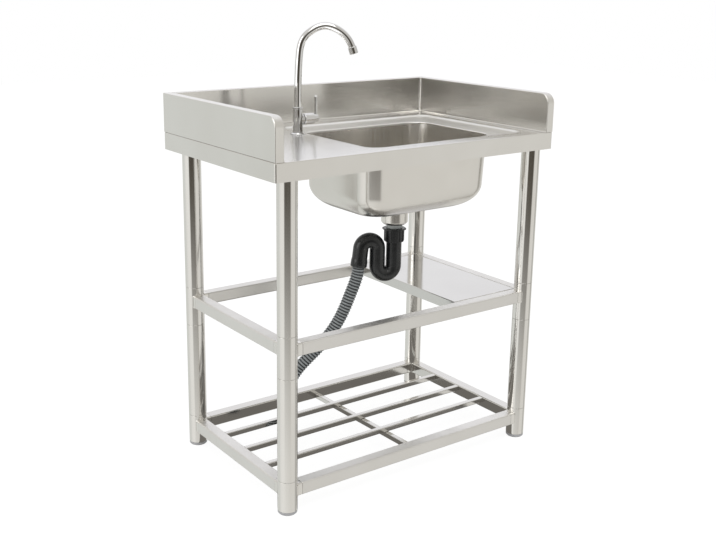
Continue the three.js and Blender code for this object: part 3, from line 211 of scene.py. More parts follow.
def rectangle(x0, x1, y0, y1, radius, z, steps):
    """A ring of points round an upright rounded rectangle, against the clock."""
    ring = []
    for quarter, (sx, sy) in enumerate([(1, 1), (-1, 1), (-1, -1), (1, -1)]):
        cx = (x1 if sx > 0 else x0) - sx * radius
        cy = (y1 if sy > 0 else y0) - sy * radius
        for k in range(steps + 1):
            angle = (quarter + k / steps) * math.pi / 2
            ring.append((cx + radius * math.cos(angle), cy + radius * math.sin(angle), z))
    return ring


# ---- meshes ---------------------------------------------------------------------------------------
class Shell:
    """Points and faces of one piece, in millimetres."""

    def __init__(self):
        self.points, self.faces = [], []

    def loft(self, rings, close=True, caps=False):
        base, count = len(self.points), len(rings[0])
        for ring in rings:
            self.points.extend(tuple(p) for p in ring)
        for i in range(len(rings) if close else len(rings) - 1):
            a, b = base + i * count, base + (i + 1) % len(rings) * count
            for k in range(count):
                n = (k + 1) % count
                self.faces.append((a + k, a + n, b + n, b + k))
        if caps:
            self.faces.append(tuple(range(base, base + count)))
            self.faces.append(tuple(base + (len(rings) - 1) * count + k for k in range(count)))
        return self

    def turn(self, profile, x=0, y=0, sides=64, frame_of=None):
        """A closed profile of (radius, height) turned about an upright line, or in a given frame."""
        rings = []
        for radius, height in profile:
            ring = []
            for k in range(sides):
                angle = 2 * math.pi * k / sides
                point = Vector((radius * math.cos(angle), radius * math.sin(angle), height))
                ring.append(frame_of @ point if frame_of else point + Vector((x, y, 0)))
            rings.append(ring)
        return self.loft(rings)

    def tube(self, line, radii, sides, side, bore):
        """A pipe along a line of points in the plane square to side, with a radius at each point."""
        across = side.normalized()

        def circle(i, radius):
            ahead = (line[min(i + 1, len(line) - 1)] - line[max(i - 1, 0)]).normalized()
            out = across.cross(ahead).normalized()
            return [line[i] + radius * (math.cos(2 * math.pi * k / sides) * out
                                        + math.sin(2 * math.pi * k / sides) * across)
                    for k in range(sides)]
        outside = [circle(i, radius) for i, radius in enumerate(radii)]
        inside = [circle(i, bore) for i in range(len(line))]
        return self.loft(outside + inside[::-1])

    def bar(self, axis, start, end, across, height, size, radius, wall=0, edge=0.8):
        """A square tube or bar with rounded edges, softened at its two ends."""
        half = size / 2

        def ring(inset, at):
            flat = rectangle(-half + inset, half - inset, -half + inset, half - inset,
                             max(radius - inset, 0.3), 0, 5)
            if axis == "x":
                return [(at, across + u, height + v) for u, v, _ in flat]
            return [(across + u, at, height + v) for u, v, _ in flat]
        arc = quarter(edge, 2)
        rings = [ring(inset, start + reach) for inset, reach in arc]
        rings += [ring(inset, end - reach) for inset, reach in arc[::-1]]
        if wall:
            return self.loft(rings + [ring(wall, end - edge), ring(wall, start + edge)])
        return self.loft(rings, close=False, caps=True)

    def object(self, name, sharp):
        mesh = bpy.data.meshes.new(name)
        mesh.from_pydata([(x * MM, y * MM, z * MM) for x, y, z in self.points], [], self.faces)
        tidy(mesh, sharp)
        return new_object(name, mesh)

    def piece(self, node, form, material, slot, body=HULL, sharp=34, weighted=True, cuts=()):
        """The visible piece that stands in for the solid of a node."""
        obj = self.object(f"{node}_{form}", sharp)
        for cutter in cuts:
            cut(obj, cutter)
        if cuts:
            tidy(obj.data, sharp)
        obj.data.materials.clear()
        obj.data.materials.append(material)
        if weighted:
            modifier = obj.modifiers.new("normals", "WEIGHTED_NORMAL")
            modifier.keep_sharp = True
        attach(obj, body)
        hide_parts(node)
        return obj


def tidy(mesh, sharp):
    """Joins points, turns the faces outwards and shades edges smooth below an angle in degrees."""
    work = bmesh.new()
    work.from_mesh(mesh)
    bmesh.ops.remove_doubles(work, verts=work.verts, dist=1e-6)
    bmesh.ops.dissolve_degenerate(work, dist=1e-7, edges=work.edges)
    bmesh.ops.recalc_face_normals(work, faces=work.faces)
    limit = math.radians(sharp)
    for face in work.faces:
        face.smooth = True
    for edge in work.edges:
        edge.smooth = len(edge.link_faces) != 2 or edge.calc_face_angle(0) < limit
    work.to_mesh(mesh)
    work.free()


def cut(obj, cutter):
    """Takes the form of a cutter out of an object."""
    tool = cutter.object("cutter", 30)
    modifier = obj.modifiers.new("cut", "BOOLEAN")
    modifier.operation, modifier.solver, modifier.object = "DIFFERENCE", "EXACT", tool
    bpy.context.view_layer.update()
    made = bpy.data.meshes.new_from_object(obj.evaluated_get(bpy.context.evaluated_depsgraph_get()))
    obj.modifiers.clear()
    obj.data = made
    mesh = tool.data
    bpy.data.objects.remove(tool)
    bpy.data.meshes.remove(mesh)


# ---- materials ------------------------------------------------------------------------------------
NOISE_LOW, NOISE_HIGH = 0.3, 0.7      # between which nearly all of a noise lies


def add_node(tree, kind, inputs=None, **settings):
    """A node with its settings, each input linked to the given socket or set to the given value."""
    made = tree.nodes.new(kind)
    for name, value in settings.items():
        setattr(made, name, value)
    for name, value in (inputs or {}).items():
        if isinstance(value, bpy.types.NodeSocket):
            tree.links.new(value, made.inputs[name])
        else:
            made.inputs[name].default_value = value
    return made


class Paint:
    """A procedural material: a Principled shader with nodes for what varies over the surface."""

    def __init__(self, name, color, metallic, roughness, **fixed):
        self.material = bpy.data.materials.new(name)
        self.material.use_nodes = True
        self.tree = self.material.node_tree
        self.shader = self.tree.nodes["Principled BSDF"]
        self.material.diffuse_color = (*color, 1)
        for socket, value in {"Base Color": (*color, 1), "Metallic": metallic, "Roughness": roughness,
                              **fixed}.items():
            self.shader.inputs[socket].default_value = value
        self.place = self.node("ShaderNodeTexCoord").outputs["Object"]

    def node(self, kind, inputs=None, **settings):
        return add_node(self.tree, kind, inputs, **settings)

    def noise(self, stretch, detail, roughness=0.6):
        """Noise with the given number of waves per metre along each axis."""
        scaled = self.node("ShaderNodeVectorMath", {0: self.place, 1: stretch}, operation="MULTIPLY")
        return self.node("ShaderNodeTexNoise", {
            "Vector": scaled.outputs[0], "Scale": 1, "Detail": detail, "Roughness": roughness,
        }).outputs["Fac"]

    def range(self, value, low, high):
        return self.node("ShaderNodeMapRange", {
            "Value": value, "From Min": NOISE_LOW, "From Max": NOISE_HIGH, "To Min": low, "To Max": high,
        }).outputs["Result"]

    def colours(self, value, low, high):
        ramp = self.node("ShaderNodeValToRGB", {"Fac": value})
        first, last = ramp.color_ramp.elements
        first.position, last.position = NOISE_LOW, NOISE_HIGH
        first.color, last.color = (*low, 1), (*high, 1)
        return ramp.outputs["Color"]

    def link(self, value, socket):
        self.tree.links.new(value, self.shader.inputs[socket])

    def bump(self, height, distance):
        made = self.node("ShaderNodeBump", {"Height": height, "Distance": distance, "Strength": 1})
        self.link(made.outputs["Normal"], "Normal")


def steel(name, stretch, low, high, roughness, smear, smear_way, grain):
    """Brushed or polished steel: fine lines along one axis, soft clouds of tone, smeared highlights."""
    paint = Paint(name, high, 1, sum(roughness) / 2, Anisotropic=smear)
    lines = paint.noise(stretch, 3, 0.5)
    clouds = paint.noise((6, 6, 6), 2)
    paint.link(paint.colours(clouds, low, high), "Base Color")
    paint.link(paint.range(lines, *roughness), "Roughness")
    paint.bump(lines, grain)
    across = paint.node("ShaderNodeCombineXYZ", dict(zip("XYZ", smear_way)))
    paint.link(across.outputs[0], "Tangent")
    return paint.material


SHEET_TONES = (0.735, 0.72, 0.69), (0.775, 0.765, 0.74)
SHEET_X = steel("steel_sheet_brushed_lengthways", (9, 900, 900), *SHEET_TONES, (0.15, 0.21), 0.9, (0, 0.3, 1),
                0.000003)
SHEET_Y = steel("steel_sheet_brushed_across", (900, 9, 900), *SHEET_TONES, (0.15, 0.21), 0.9, (0.3, 0, 1),
                0.000003)
# The worktop's sheet steel with its tone painted much lighter, for the deck's upward faces: painted light on
# the top.
LIT_DECK_STEEL = steel("steel_sheet_deck_painted_light", (9, 900, 900), (0.89, 0.885, 0.88), (0.93, 0.93, 0.93), (0.17, 0.23),
                   0.9, (0, 0.3, 1), 0.000003)
RECESS_STEEL = steel("steel_pressed_recess", (60, 60, 60), (0.80, 0.795, 0.775), (0.85, 0.845, 0.83),
                     (0.34, 0.42), 0, (1, 0, 0), 0.000002)
BOWL_STEEL = steel("steel_drawn_bowl", (300, 300, 9), (0.73, 0.71, 0.675), (0.78, 0.765, 0.73), (0.19, 0.26),
                   0.5, (0, 0.2, 1), 0.000004)
LEG_STEEL = steel("steel_tube_upright", (500, 500, 6), (0.76, 0.745, 0.715), (0.80, 0.79, 0.765),
                  (0.07, 0.13), 0.5, (0, 0, 1), 0.000002)
RAIL_STEEL = steel("steel_tube_level", (30, 30, 900), (0.75, 0.74, 0.715), (0.79, 0.78, 0.76), (0.34, 0.42),
                   0.2, (0, 0.2, 1), 0.000003)
# Smoother steel for the rack's bars and the base's rear and right rails, its tone painted darker than the
# rails' as painted shade inside the unit.
SHADED_BAR_STEEL = steel("steel_bar_level_painted_shade", (30, 30, 900), (0.68, 0.67, 0.645), (0.74, 0.73, 0.71), (0.10, 0.16),
                  0.2, (0, 0.2, 1), 0.000002)
# Polished steel of the half shelf and the waste's parts, its tone painted darker than the sheet steel's:
# painted shade beneath the worktop.
SHADED_SHELF_STEEL = steel("steel_shelf_painted_shade", (9, 900, 900), (0.66, 0.655, 0.64), (0.70, 0.695, 0.68), (0.07, 0.13), 0.4,
                    (0, 1, 0.2), 0.000002)


def chrome(name, tone):
    paint = Paint(name, (tone, tone, tone), 1, 0.04)
    paint.link(paint.range(paint.noise((60, 60, 60), 3), 0.025, 0.07), "Roughness")
    paint.bump(paint.noise((35, 35, 35), 2), 0.00003)
    return paint.material


def plastic(name, low, high, roughness, detail, scale, grain):
    paint = Paint(name, high, 0, sum(roughness) / 2, IOR=1.5)
    paint.link(paint.colours(paint.noise((25, 25, 25), 3), low, high), "Base Color")
    paint.link(paint.range(paint.noise((80, 80, 80), 3), *roughness), "Roughness")
    paint.bump(paint.noise((scale, scale, scale), detail), grain)
    return paint.material


CHROME = chrome("chrome", 0.74)
# A darker copy of the same chrome for the tap's body: painted shade.
SHADED_BODY_CHROME = chrome("chrome_body_painted_shade", 0.6)
BLACK = plastic("black_plastic", (0.010, 0.011, 0.012), (0.020, 0.021, 0.022), (0.2, 0.3), 3, 500, 0.00002)
# The hose's own grey on the ribs' crests, and a much darker copy of it in the grooves: painted shade.
HOSE_CREST = plastic("grey_hose_rib", (0.25, 0.27, 0.275), (0.35, 0.37, 0.375), (0.36, 0.48), 3, 600, 0.00003)
HOSE_GROOVE_SHADE = plastic("grey_hose_groove_painted_shade", (0.025, 0.029, 0.031), (0.04, 0.045, 0.047), (0.45, 0.6), 3, 600,
                      0.00003)
CUFF_GREY = plastic("grey_cuff", (0.045, 0.05, 0.053), (0.07, 0.077, 0.08), (0.4, 0.5), 3, 600, 0.00003)
WASHER_GREY = plastic("grey_rubber", (0.34, 0.36, 0.35), (0.44, 0.46, 0.45), (0.55, 0.7), 4, 900, 0.00005)
FOOT_GREY = plastic("pale_plastic", (0.40, 0.40, 0.41), (0.48, 0.48, 0.49), (0.4, 0.55), 4, 800, 0.00004)


# ---- hose -----------------------------------------------------------------------------------------
def upright_plane(x, y, heading, base=0):
    """A function that gives the point at a reach and a height in an upright plane."""
    def point(reach, height):
        return Vector((x + reach * math.cos(heading), y + reach * math.sin(heading), base + height))
    return point


def plane_side(point):
    """The direction square to an upright plane."""
    return (point(0, 1) - point(0, 0)).cross(point(1, 0) - point(0, 0))


in_drain_plane = upright_plane(BOWL_X, BOWL_Y, DRAIN_HEADING)
DRAIN_SIDE = plane_side(in_drain_plane)


def drain_hose():
    sides = 36
    wave = [0, 0.12, 0.7, 1, 1, 1, 0.7, 0.12]     # the depth from one rib's crest to the next
    shaded_groove_steps = (2, 3, 4, 5)                         # the steps of it in the grooves, painted dark as painted shade
    steps = len(wave)
    line, length = spline([in_drain_plane(s, z) for s, z in HOSE_ROUTE], RIB_PITCH / steps)
    ribs = len(line) // steps
    radii = [HOSE - RIB_DEPTH * wave[i % steps] if i < ribs * steps else HOSE for i in range(len(line))]
    hose = Shell().tube(line, radii, sides, DRAIN_SIDE, HOSE_BORE).piece(
        "drain_hose", "ribbed", HOSE_CREST, "grey_hose", weighted=False, sharp=60)
    # the faces in the grooves take the darker grey: painted shade
    hose.data.materials.append(HOSE_GROOVE_SHADE)
    for face in hose.data.polygons[:ribs * steps * sides]:
        if face.index // sides % steps in shaded_groove_steps:
            face.material_index = 1
    bottom = line[-1].z
    grip = [(HOSE_BORE, CUFF_FLOOR_GAP, 0.3), (CUFF - 1.2, CUFF_FLOOR_GAP, 0.6), (CUFF, CUFF_FLOOR_GAP + 2, 1)]
    for k in range(3):
        z = CUFF_FLOOR_GAP + 8 + 8 * k
        grip += [(CUFF, z, 0.5), (CUFF - 0.9, z + 0.8, 0.5), (CUFF - 0.9, z + 3, 0.5), (CUFF, z + 3.8, 0.5)]
    grip += [(CUFF, bottom - GAP - 2, 1), (CUFF - 1.6, bottom - GAP, 0.6), (HOSE_BORE, bottom - GAP, 0.3)]
    cuff = Shell().turn(rounded(grip, 3), line[-1].x, line[-1].y, 48).piece(
        "hose_cuff", "grooved", CUFF_GREY, "grey_hose")


drain_hose()


# ---- worktop and upstands -------------------------------------------------------------------------
def offset(line, distance):
    """A polyline moved sideways, to the right of the way it runs."""
    moved = []
    for i, (x, y) in enumerate(line):
        a, b = line[max(i - 1, 0)], line[min(i + 1, len(line) - 1)]
        run = Vector((b[0] - a[0], b[1] - a[1])).normalized()
        moved.append((x + run.y * distance, y - run.x * distance))
    return moved


def bowl_ring(inset, radius, z):
    return rectangle(BOWL_X - BOWL_LENGTH / 2 + inset, BOWL_X + BOWL_LENGTH / 2 - inset,
                     BOWL_Y - BOWL_WIDTH / 2 + inset, BOWL_Y + BOWL_WIDTH / 2 - inset, radius, z,
                     CORNER_STEPS)


def worktop():
    x0, x1, y0, y1 = RECESS
    floor = TOP - RECESS_DEPTH
    apron = rounded([(0, TOP - APRON, 0), (0, TOP, 2.2), (20, TOP, 0)], 5, False)[:-1]
    step = rounded([(-16, TOP, 0), (-3, TOP, 5), (3, floor, 5), (16, floor, 0)], 5, False)[1:-1]
    lip = rounded([(-12, floor, 0), (0, floor, LIP), (0, floor - LIP - 1, 0)], 7, False)[1:]

    def rings(thickness):
        made = [rectangle(-HALF_WIDTH + i, HALF_WIDTH - i, -HALF_DEPTH + i, HALF_DEPTH - i,
                          max(4 - i, 0.6), z, CORNER_STEPS) for i, z in offset(apron, thickness)]
        made += [rectangle(x0 + i, x1 - i, y0 + i, y1 - i, RECESS_CORNER - i, z, CORNER_STEPS)
                 for i, z in offset(step, thickness)]
        return made + [bowl_ring(i, BOWL_CORNER - i, z) for i, z in offset(lip, thickness)]
    top = Shell().loft(rings(0) + rings(SHEET)[::-1]).piece(
        "worktop", "pressed", SHEET_X, "brushed_steel_sheet")
    for material in (SHEET_Y, RECESS_STEEL, LIT_DECK_STEEL):
        top.data.materials.append(material)
    for face in top.data.polygons:
        place = face.center / MM
        if abs(face.normal.x) > 0.7 and place.z < TOP - 2:
            face.material_index = 1
        elif x0 - 4 < place.x < x1 + 4 and y0 - 4 < place.y < y1 + 4 and place.z > TOP - 12:
            face.material_index = 2
        # the upward faces of the deck take the lighter copy of the sheet steel: painted light
        elif face.normal.z > 0.9 and place.z > TOP - 2:
            face.material_index = 3


def cove(face, inward):
    """The section of the rounded inner corner between an upstand's face and the worktop."""
    buried = face - 0.4 * inward
    return [(buried, TOP - 0.2), *((face + inward * u, TOP + GAP / 2 + v) for u, v in quarter(COVE, 6)),
            (buried, TOP + COVE)]


def side_upstand(name, x0, inward):
    def profile(inset):
        front, rear = -HALF_DEPTH + inset, HALF_DEPTH - inset
        low, top = TOP + GAP + inset, TOP + UPSTAND - inset
        return rounded([(rear, low, 0), (rear, top, 0), (front, top, NOSE - inset), (front, low, 0)], 12)
    x1, arc = x0 + UPSTAND_THICK, quarter(1.6, 4)
    rings = [(x0 + reach, profile(inset)) for inset, reach in arc]
    rings += [(x1 - reach, profile(inset)) for inset, reach in arc[::-1]]
    shell = Shell().loft([[(x, y, z) for y, z in line] for x, line in rings], close=False, caps=True)
    section = cove(x1 if inward > 0 else x0, inward)
    shell.loft([[(x, y, z) for x, z in section] for y in (-HALF_DEPTH + 1, HALF_DEPTH - UPSTAND_THICK)],
               close=False, caps=True)
    shell.piece(name, "folded", SHEET_Y, "brushed_steel_sheet")


def rear_upstand():
    side, front = HALF_WIDTH - UPSTAND_THICK - GAP, HALF_DEPTH - UPSTAND_THICK
    outline = rounded([(front, TOP + GAP, 0.5), (HALF_DEPTH, TOP + GAP, 0.5), (HALF_DEPTH, TOP + UPSTAND, 1.6),
                       (front, TOP + UPSTAND, 1.6)], 4)
    shell = Shell()
    for section in (outline, cove(front, -1)):
        shell.loft([[(x, y, z) for y, z in section] for x in (-side, side)], close=False, caps=True)
    for x, inward in ((-side, 1), (side, -1)):
        buried = x - 0.2 * inward
        bend = [(buried, front + 0.3), *((x + inward * u, front - v) for u, v in quarter(CORNER_BEND, 8)),
                (buried, front - CORNER_BEND)]
        shell.loft([[(u, v, z) for u, v in bend] for z in (TOP + GAP, TOP + UPSTAND - 1.2)],
                   close=False, caps=True)
    shell.piece("rear_upstand", "folded", SHEET_X, "brushed_steel_sheet")


worktop()
side_upstand("left_upstand", -HALF_WIDTH, 1)
side_upstand("right_upstand", HALF_WIDTH - UPSTAND_THICK, -1)
rear_upstand()


# ---- bowl -----------------------------------------------------------------------------------------
def bowl():
    def face(depth):
        top = TOP - RECESS_DEPTH - LIP - 1
        centre = BOWL_BOTTOM + BOWL_ROUND
        rings = [bowl_ring((BOWL_TOP - z) * BOWL_DRAFT - depth, radius + depth, z)
                 for z, radius in ((top, BOWL_CORNER), (top - 4, BOWL_CORNER + 1), (top - 9, BOWL_CORNER + 2),
                                   (top - 14, BOWL_WALL_CORNER), (top - 40, BOWL_WALL_CORNER),
                                   (top - 75, BOWL_WALL_CORNER))]
        lean, growth = (BOWL_TOP - centre) * BOWL_DRAFT, BOWL_FLOOR_CORNER - BOWL_WALL_CORNER
        for k in range(19):
            angle = math.pi / 2 * k / 18
            reach = BOWL_ROUND + depth
            rings.append(bowl_ring(lean + BOWL_ROUND - reach * math.cos(angle),
                                   BOWL_WALL_CORNER + depth + growth * (1 - math.cos(angle)),
                                   centre - reach * math.sin(angle)))

        def circle(radius, z):
            return rectangle(BOWL_X - radius, BOWL_X + radius, BOWL_Y - radius, BOWL_Y + radius, radius,
                             z - depth, CORNER_STEPS)
        rings += [circle(r, z) for r, z in rounded([
            (52, BOWL_BOTTOM - BOWL_FALL, 0), (48, BOWL_BOTTOM - BOWL_FALL, 3), (42.3, WASTE_SEAT, 2),
            (THROAT + GAP, WASTE_SEAT, 0)], 4, False)]
        return rings
    Shell().loft(face(0) + face(1)[::-1]).piece(
        "sink_bowl", "drawn", BOWL_STEEL, "brushed_steel_sheet", sharp=50, weighted=False)


bowl()


# ---- waste ----------------------------------------------------------------------------------------
def holes(count, circle, radius, low, high):
    return [Shell().turn([(0, low), (radius, low), (radius, high), (0, high)],
                         BOWL_X + circle * math.cos(2 * math.pi * k / count),
                         BOWL_Y + circle * math.sin(2 * math.pi * k / count), 20) for k in range(count)]


def waste():
    wall = 1.2
    flange = rounded([
        (3.3, THROAT_BOTTOM, 0.2), (THROAT, THROAT_BOTTOM, 1.5), (THROAT, WASTE_TOP - wall, 0.3),
        (42, WASTE_TOP - wall, 0.3), (42, WASTE_TOP - 0.1, 0.8), (THROAT - wall, WASTE_TOP, 1.8),
        (THROAT - wall, THROAT_BOTTOM + wall, 1.5), (3.3, THROAT_BOTTOM + wall, 0.2)])
    Shell().turn(flange, BOWL_X, BOWL_Y, 72).piece(
        "waste_flange", "turned", SHADED_SHELF_STEEL, "polished_steel",
        cuts=holes(6, 17, 5.5, THROAT_BOTTOM - 2, THROAT_BOTTOM + 3))
    rim = WASTE_TOP + GAP
    floor, knob = rim - 10, rim + 8
    basket = rounded([
        (0, floor, 0), (27, floor, 2.5), (27, rim, 0.4), (34, rim, 0.3), (34, rim + 1, 0.5),
        (26, rim + 1, 1.2), (26, floor + 1, 1.6), (4, floor + 1, 1.5), (3, knob - 4.2, 0.4),
        (7, knob - 3, 0.4), (7, knob - 0.6, 0.6), (4.6, knob, 1), (0, knob, 0)])
    Shell().turn(basket, BOWL_X, BOWL_Y, 72).piece(
        "strainer_basket", "turned", SHADED_SHELF_STEEL, "polished_steel", body="basket",
        cuts=holes(8, 18, 3.2, floor - 2, floor + 2.5) + holes(16, 23.2, 1.2, floor - 2, floor + 2.5))
    low, high = CUP_TOP + GAP, CUP_TOP + GAP + 3
    Shell().turn(rounded([(THROAT + GAP, low, 0.4), (CUP, low, 1), (CUP, high, 1), (THROAT + GAP, high, 0.4)]),
                 BOWL_X, BOWL_Y, 64).piece(
        "waste_seal", "ring", WASHER_GREY, "rubber_seal")
    neck = CUP_NECK_TOP - 26
    cup = rounded([
        (15, neck, 0.3), (17.5, neck, 0.5), (17.5, CUP_NECK_TOP, 1.5), (CUP - 6, CUP_NECK_TOP, 2.5),
        (CUP, CUP_SIDE_BOTTOM, 2.5), (CUP, CUP_TOP - 3, 0.3), (CUP - 0.6, CUP_TOP - 2.6, 0.2),
        (CUP - 0.6, CUP_TOP - 0.5, 0.3), (CUP - 1.2, CUP_TOP, 0.2), (CUP - 1.2, CUP_SIDE_BOTTOM + 1.2, 2),
        (CUP - 6, CUP_NECK_TOP + 1.2, 2), (15, CUP_NECK_TOP + 1.2, 1.2)])
    Shell().turn(cup, BOWL_X, BOWL_Y, 72).piece(
        "waste_cup", "drawn", BOWL_STEEL, "brushed_steel_sheet")
    low, under = CUP_NECK_TOP + 5.3, THROAT_BOTTOM + wall + GAP
    Shell().turn(rounded([(0, low, 0), (3, low, 0.5), (3, under, 0), (6, under, 0.3), (6, under + 4, 1.2),
                          (0, under + 4, 0)]), BOWL_X, BOWL_Y, 32).piece(
        "waste_screw", "domed", SHADED_SHELF_STEEL, "polished_steel")


def trap():
    top = CUP_NECK_TOP - 26 - GAP
    line = [in_drain_plane(0, top - k * (top - TRAP_LOW) / 12) for k in range(12)]
    line += [in_drain_plane(TRAP_BEND * (1 - math.cos(math.pi * k / 36)),
                            TRAP_LOW - TRAP_BEND * math.sin(math.pi * k / 36)) for k in range(36)]
    line += [in_drain_plane(2 * TRAP_BEND, TRAP_LOW + k * (TRAP_HIGH - TRAP_LOW) / 8) for k in range(8)]
    turn = math.pi - TRAP_LEAN
    line += [in_drain_plane(TRAP_BEND * (3 - math.cos(turn * k / 36)),
                            TRAP_HIGH + TRAP_BEND * math.sin(turn * k / 36)) for k in range(36)]
    corner = (TRAP_BEND * (3 + math.cos(TRAP_LEAN)), TRAP_HIGH + TRAP_BEND * math.sin(TRAP_LEAN))
    run = (math.sin(TRAP_LEAN), -math.cos(TRAP_LEAN))
    radii = [TRAP] * len(line)
    edge, socket = TRAP_OUTLET - TRAP_SOCKET, TRAP_SOCKET_RADIUS
    flare = [(edge + along * TRAP_FLARE, TRAP + out * (socket - TRAP))
             for along, out in ((0.25, 0.15), (0.5, 0.5), (0.75, 0.85))]
    for reach, radius in [(0, TRAP), (8, TRAP), (16, TRAP), (edge, TRAP), *flare, (edge + TRAP_FLARE, socket),
                          (edge + TRAP_FLARE + 5, socket), (TRAP_OUTLET - 0.8, socket),
                          (TRAP_OUTLET, socket - 0.8)]:
        line.append(in_drain_plane(corner[0] + run[0] * reach, corner[1] + run[1] * reach))
        radii.append(radius)
    shell = Shell().tube(line, radii, 56, DRAIN_SIDE, HOSE_BORE)
    shell.piece("trap_pipe", "moulded", BLACK, "black_plastic", weighted=False, sharp=50)
    washer_top = CUP_NECK_TOP - GAP
    Shell().turn(rounded([(17.8, washer_top - 10, 0.4), (19.8, washer_top - 10, 1), (19.8, washer_top, 1),
                          (17.8, washer_top, 0.4)]), BOWL_X, BOWL_Y, 56).piece(
        "trap_washer", "ring", WASHER_GREY, "rubber_seal")
    low, wing, bore = NUT_TOP - NUT_HEIGHT, NUT_TOP - 4, TRAP + GAP
    nut = Shell().turn(rounded([(bore, low, 0.4), (23.4, low, 1.2), (24, wing, 0.5), (28.2, wing, 0.6),
                                (28.2, NUT_TOP, 1.2), (bore, NUT_TOP, 0.4)]), BOWL_X, BOWL_Y, 72)

    def blocks(count, first, sections):
        """Equal blocks round the nut, of sections that each have a height and points of (reach, side)."""
        for k in range(count):
            angle = 2 * math.pi * (k + first) / count
            out = Vector((math.cos(angle), math.sin(angle), 0))
            side = Vector((-math.sin(angle), math.cos(angle), 0))
            nut.loft([[Vector((BOWL_X, BOWL_Y, z)) + out * r + side * s for r, s in points]
                      for z, points in sections], close=False, caps=True)

    blocks(12, 0, [
        (z, [(22, -half), (reach - 0.6, -half), (reach, -half + 0.7), (reach, half - 0.7), (reach - 0.6, half),
             (22, half)])
        for z, reach, half in ((low + 1, 24.4, 1.2), (low + 2.6, 25.2, 1.9), (wing - 0.5, 25.4, 2),
                               (wing + 0.4, 25.4, 2))])
    blocks(6, 0.25, [
        (z, [(26, -5), (29.5 - pull, -3.4 + pull), (29.5 - pull, 3.4 - pull), (26, 5)])
        for z, pull in ((wing, 0.7), (wing + 0.7, 0), (NUT_TOP - 0.7, 0), (NUT_TOP, 0.7))])
    nut.piece("trap_nut", "ribbed", BLACK, "black_plastic", sharp=40)


waste()
trap()


# ---- stand ----------------------------------------------------------------------------------------
def sleeve(shell, x, y, low, high):
    """The tube of a leg between two heights."""
    bore, edge = LEG - LEG_WALL, 0.8
    return shell.turn(rounded([(bore, low, 0.2), (LEG, low, edge), (LEG, high, edge), (bore, high, 0.2)], 4),
                      x, y, 72)


def weld(shell, x, y, axis, toward, height):
    """The small bead round an arm where it leaves the sleeve."""
    half, bead = RAIL / 2, 1.6
    near = math.sqrt(LEG ** 2 - half ** 2)
    rings = []
    for k in range(6):
        angle = math.pi * k / 5
        grow, slide = bead * math.sin(angle) * 0.8, bead * (1 - math.cos(angle))
        ring = []
        for u, v, _ in rectangle(-half - grow, half + grow, -half - grow, half + grow, RAIL_ROUND + grow, 0, 6):
            reach = max(math.sqrt(max(LEG ** 2 - u ** 2, near ** 2 * 0.5)), near) - 1 + slide
            ring.append((x + toward * reach, y + u, height + v) if axis == "x"
                        else (x + u, y + toward * reach, height + v))
        rings.append(ring)
    shell.loft(rings, close=False, caps=True)


def connector(kind, corner, top, low, high):
    x, y, toward_x, toward_y = LEGS[corner]
    shell = sleeve(Shell(), x, y, low, high)
    height, reach = top - RAIL / 2, LEG + STUB
    for axis, middle, toward, across in (("x", x, toward_x, y), ("y", y, toward_y, x)):
        start, end = sorted((middle + toward * 12, middle + toward * reach))
        shell.bar(axis, start, end, across, height, RAIL, RAIL_ROUND)
        weld(shell, x, y, axis, toward, height)
    shell.piece(f"{kind}_connector_{corner}", "welded", LEG_STEEL, "polished_steel")


def stand():
    mid_low, mid_high = MID_TOP - RAIL - MID_BELOW, MID_TOP + MID_ABOVE
    base_high = BASE_TOP + BASE_ABOVE
    for corner, (x, y, _, _) in LEGS.items():
        sleeve(Shell(), x, y, mid_high + GAP, LEG_TOP).piece(
            f"upper_leg_{corner}", "tube", LEG_STEEL, "polished_steel")
        sleeve(Shell(), x, y, base_high + GAP, mid_low - GAP).piece(
            f"lower_leg_{corner}", "tube", LEG_STEEL, "polished_steel")
        connector("mid", corner, MID_TOP, mid_low, mid_high)
        connector("base", corner, BASE_TOP, FOOT_HEIGHT + GAP, base_high)
        top = LEG_TOP + GAP
        Shell().turn(rounded([(0, top, 0), (20, top, 0), (20, top - 40, 0.5), (21, top - 40, 0.5), (21, top, 0),
                              (LEG, top, 0.5), (LEG, top + 2, 0.5), (0, top + 2, 0)]), x, y, 64).piece(
            f"leg_socket_{corner}", "cup", SHEET_X, "brushed_steel_sheet")
        Shell().turn(rounded([(0, 0, 0), (LEG - 3, 0, 0.8), (LEG - 0.4, 2.6, 2),
                              (LEG - 0.2, FOOT_HEIGHT - 1.4, 0.6), (LEG - 1, FOOT_HEIGHT, 0.4),
                              (LEG - 1.5, FOOT_HEIGHT + 18, 1), (0, FOOT_HEIGHT + 18, 0)]), x, y, 64).piece(
            f"foot_{corner}", "cap", FOOT_GREY, "foot_plastic")
    end = LEG + STUB + GAP
    for level, top in (("mid", MID_TOP), ("base", BASE_TOP)):
        height = top - RAIL / 2
        for side, axis, start, stop, across in (
                ("front", "x", -LEG_X, LEG_X, LEG_FRONT), ("rear", "x", -LEG_X, LEG_X, LEG_REAR),
                ("left", "y", LEG_FRONT, LEG_REAR, -LEG_X), ("right", "y", LEG_FRONT, LEG_REAR, LEG_X)):
            # the base's rear and right rails take the darker bar steel: painted shade
            look = SHADED_BAR_STEEL if level == "base" and side in ("rear", "right") else RAIL_STEEL
            Shell().bar(axis, start + end, stop - end, across, height, RAIL, RAIL_ROUND, RAIL_WALL).piece(
                f"{level}_rail_{side}", "tube", look, "polished_steel")


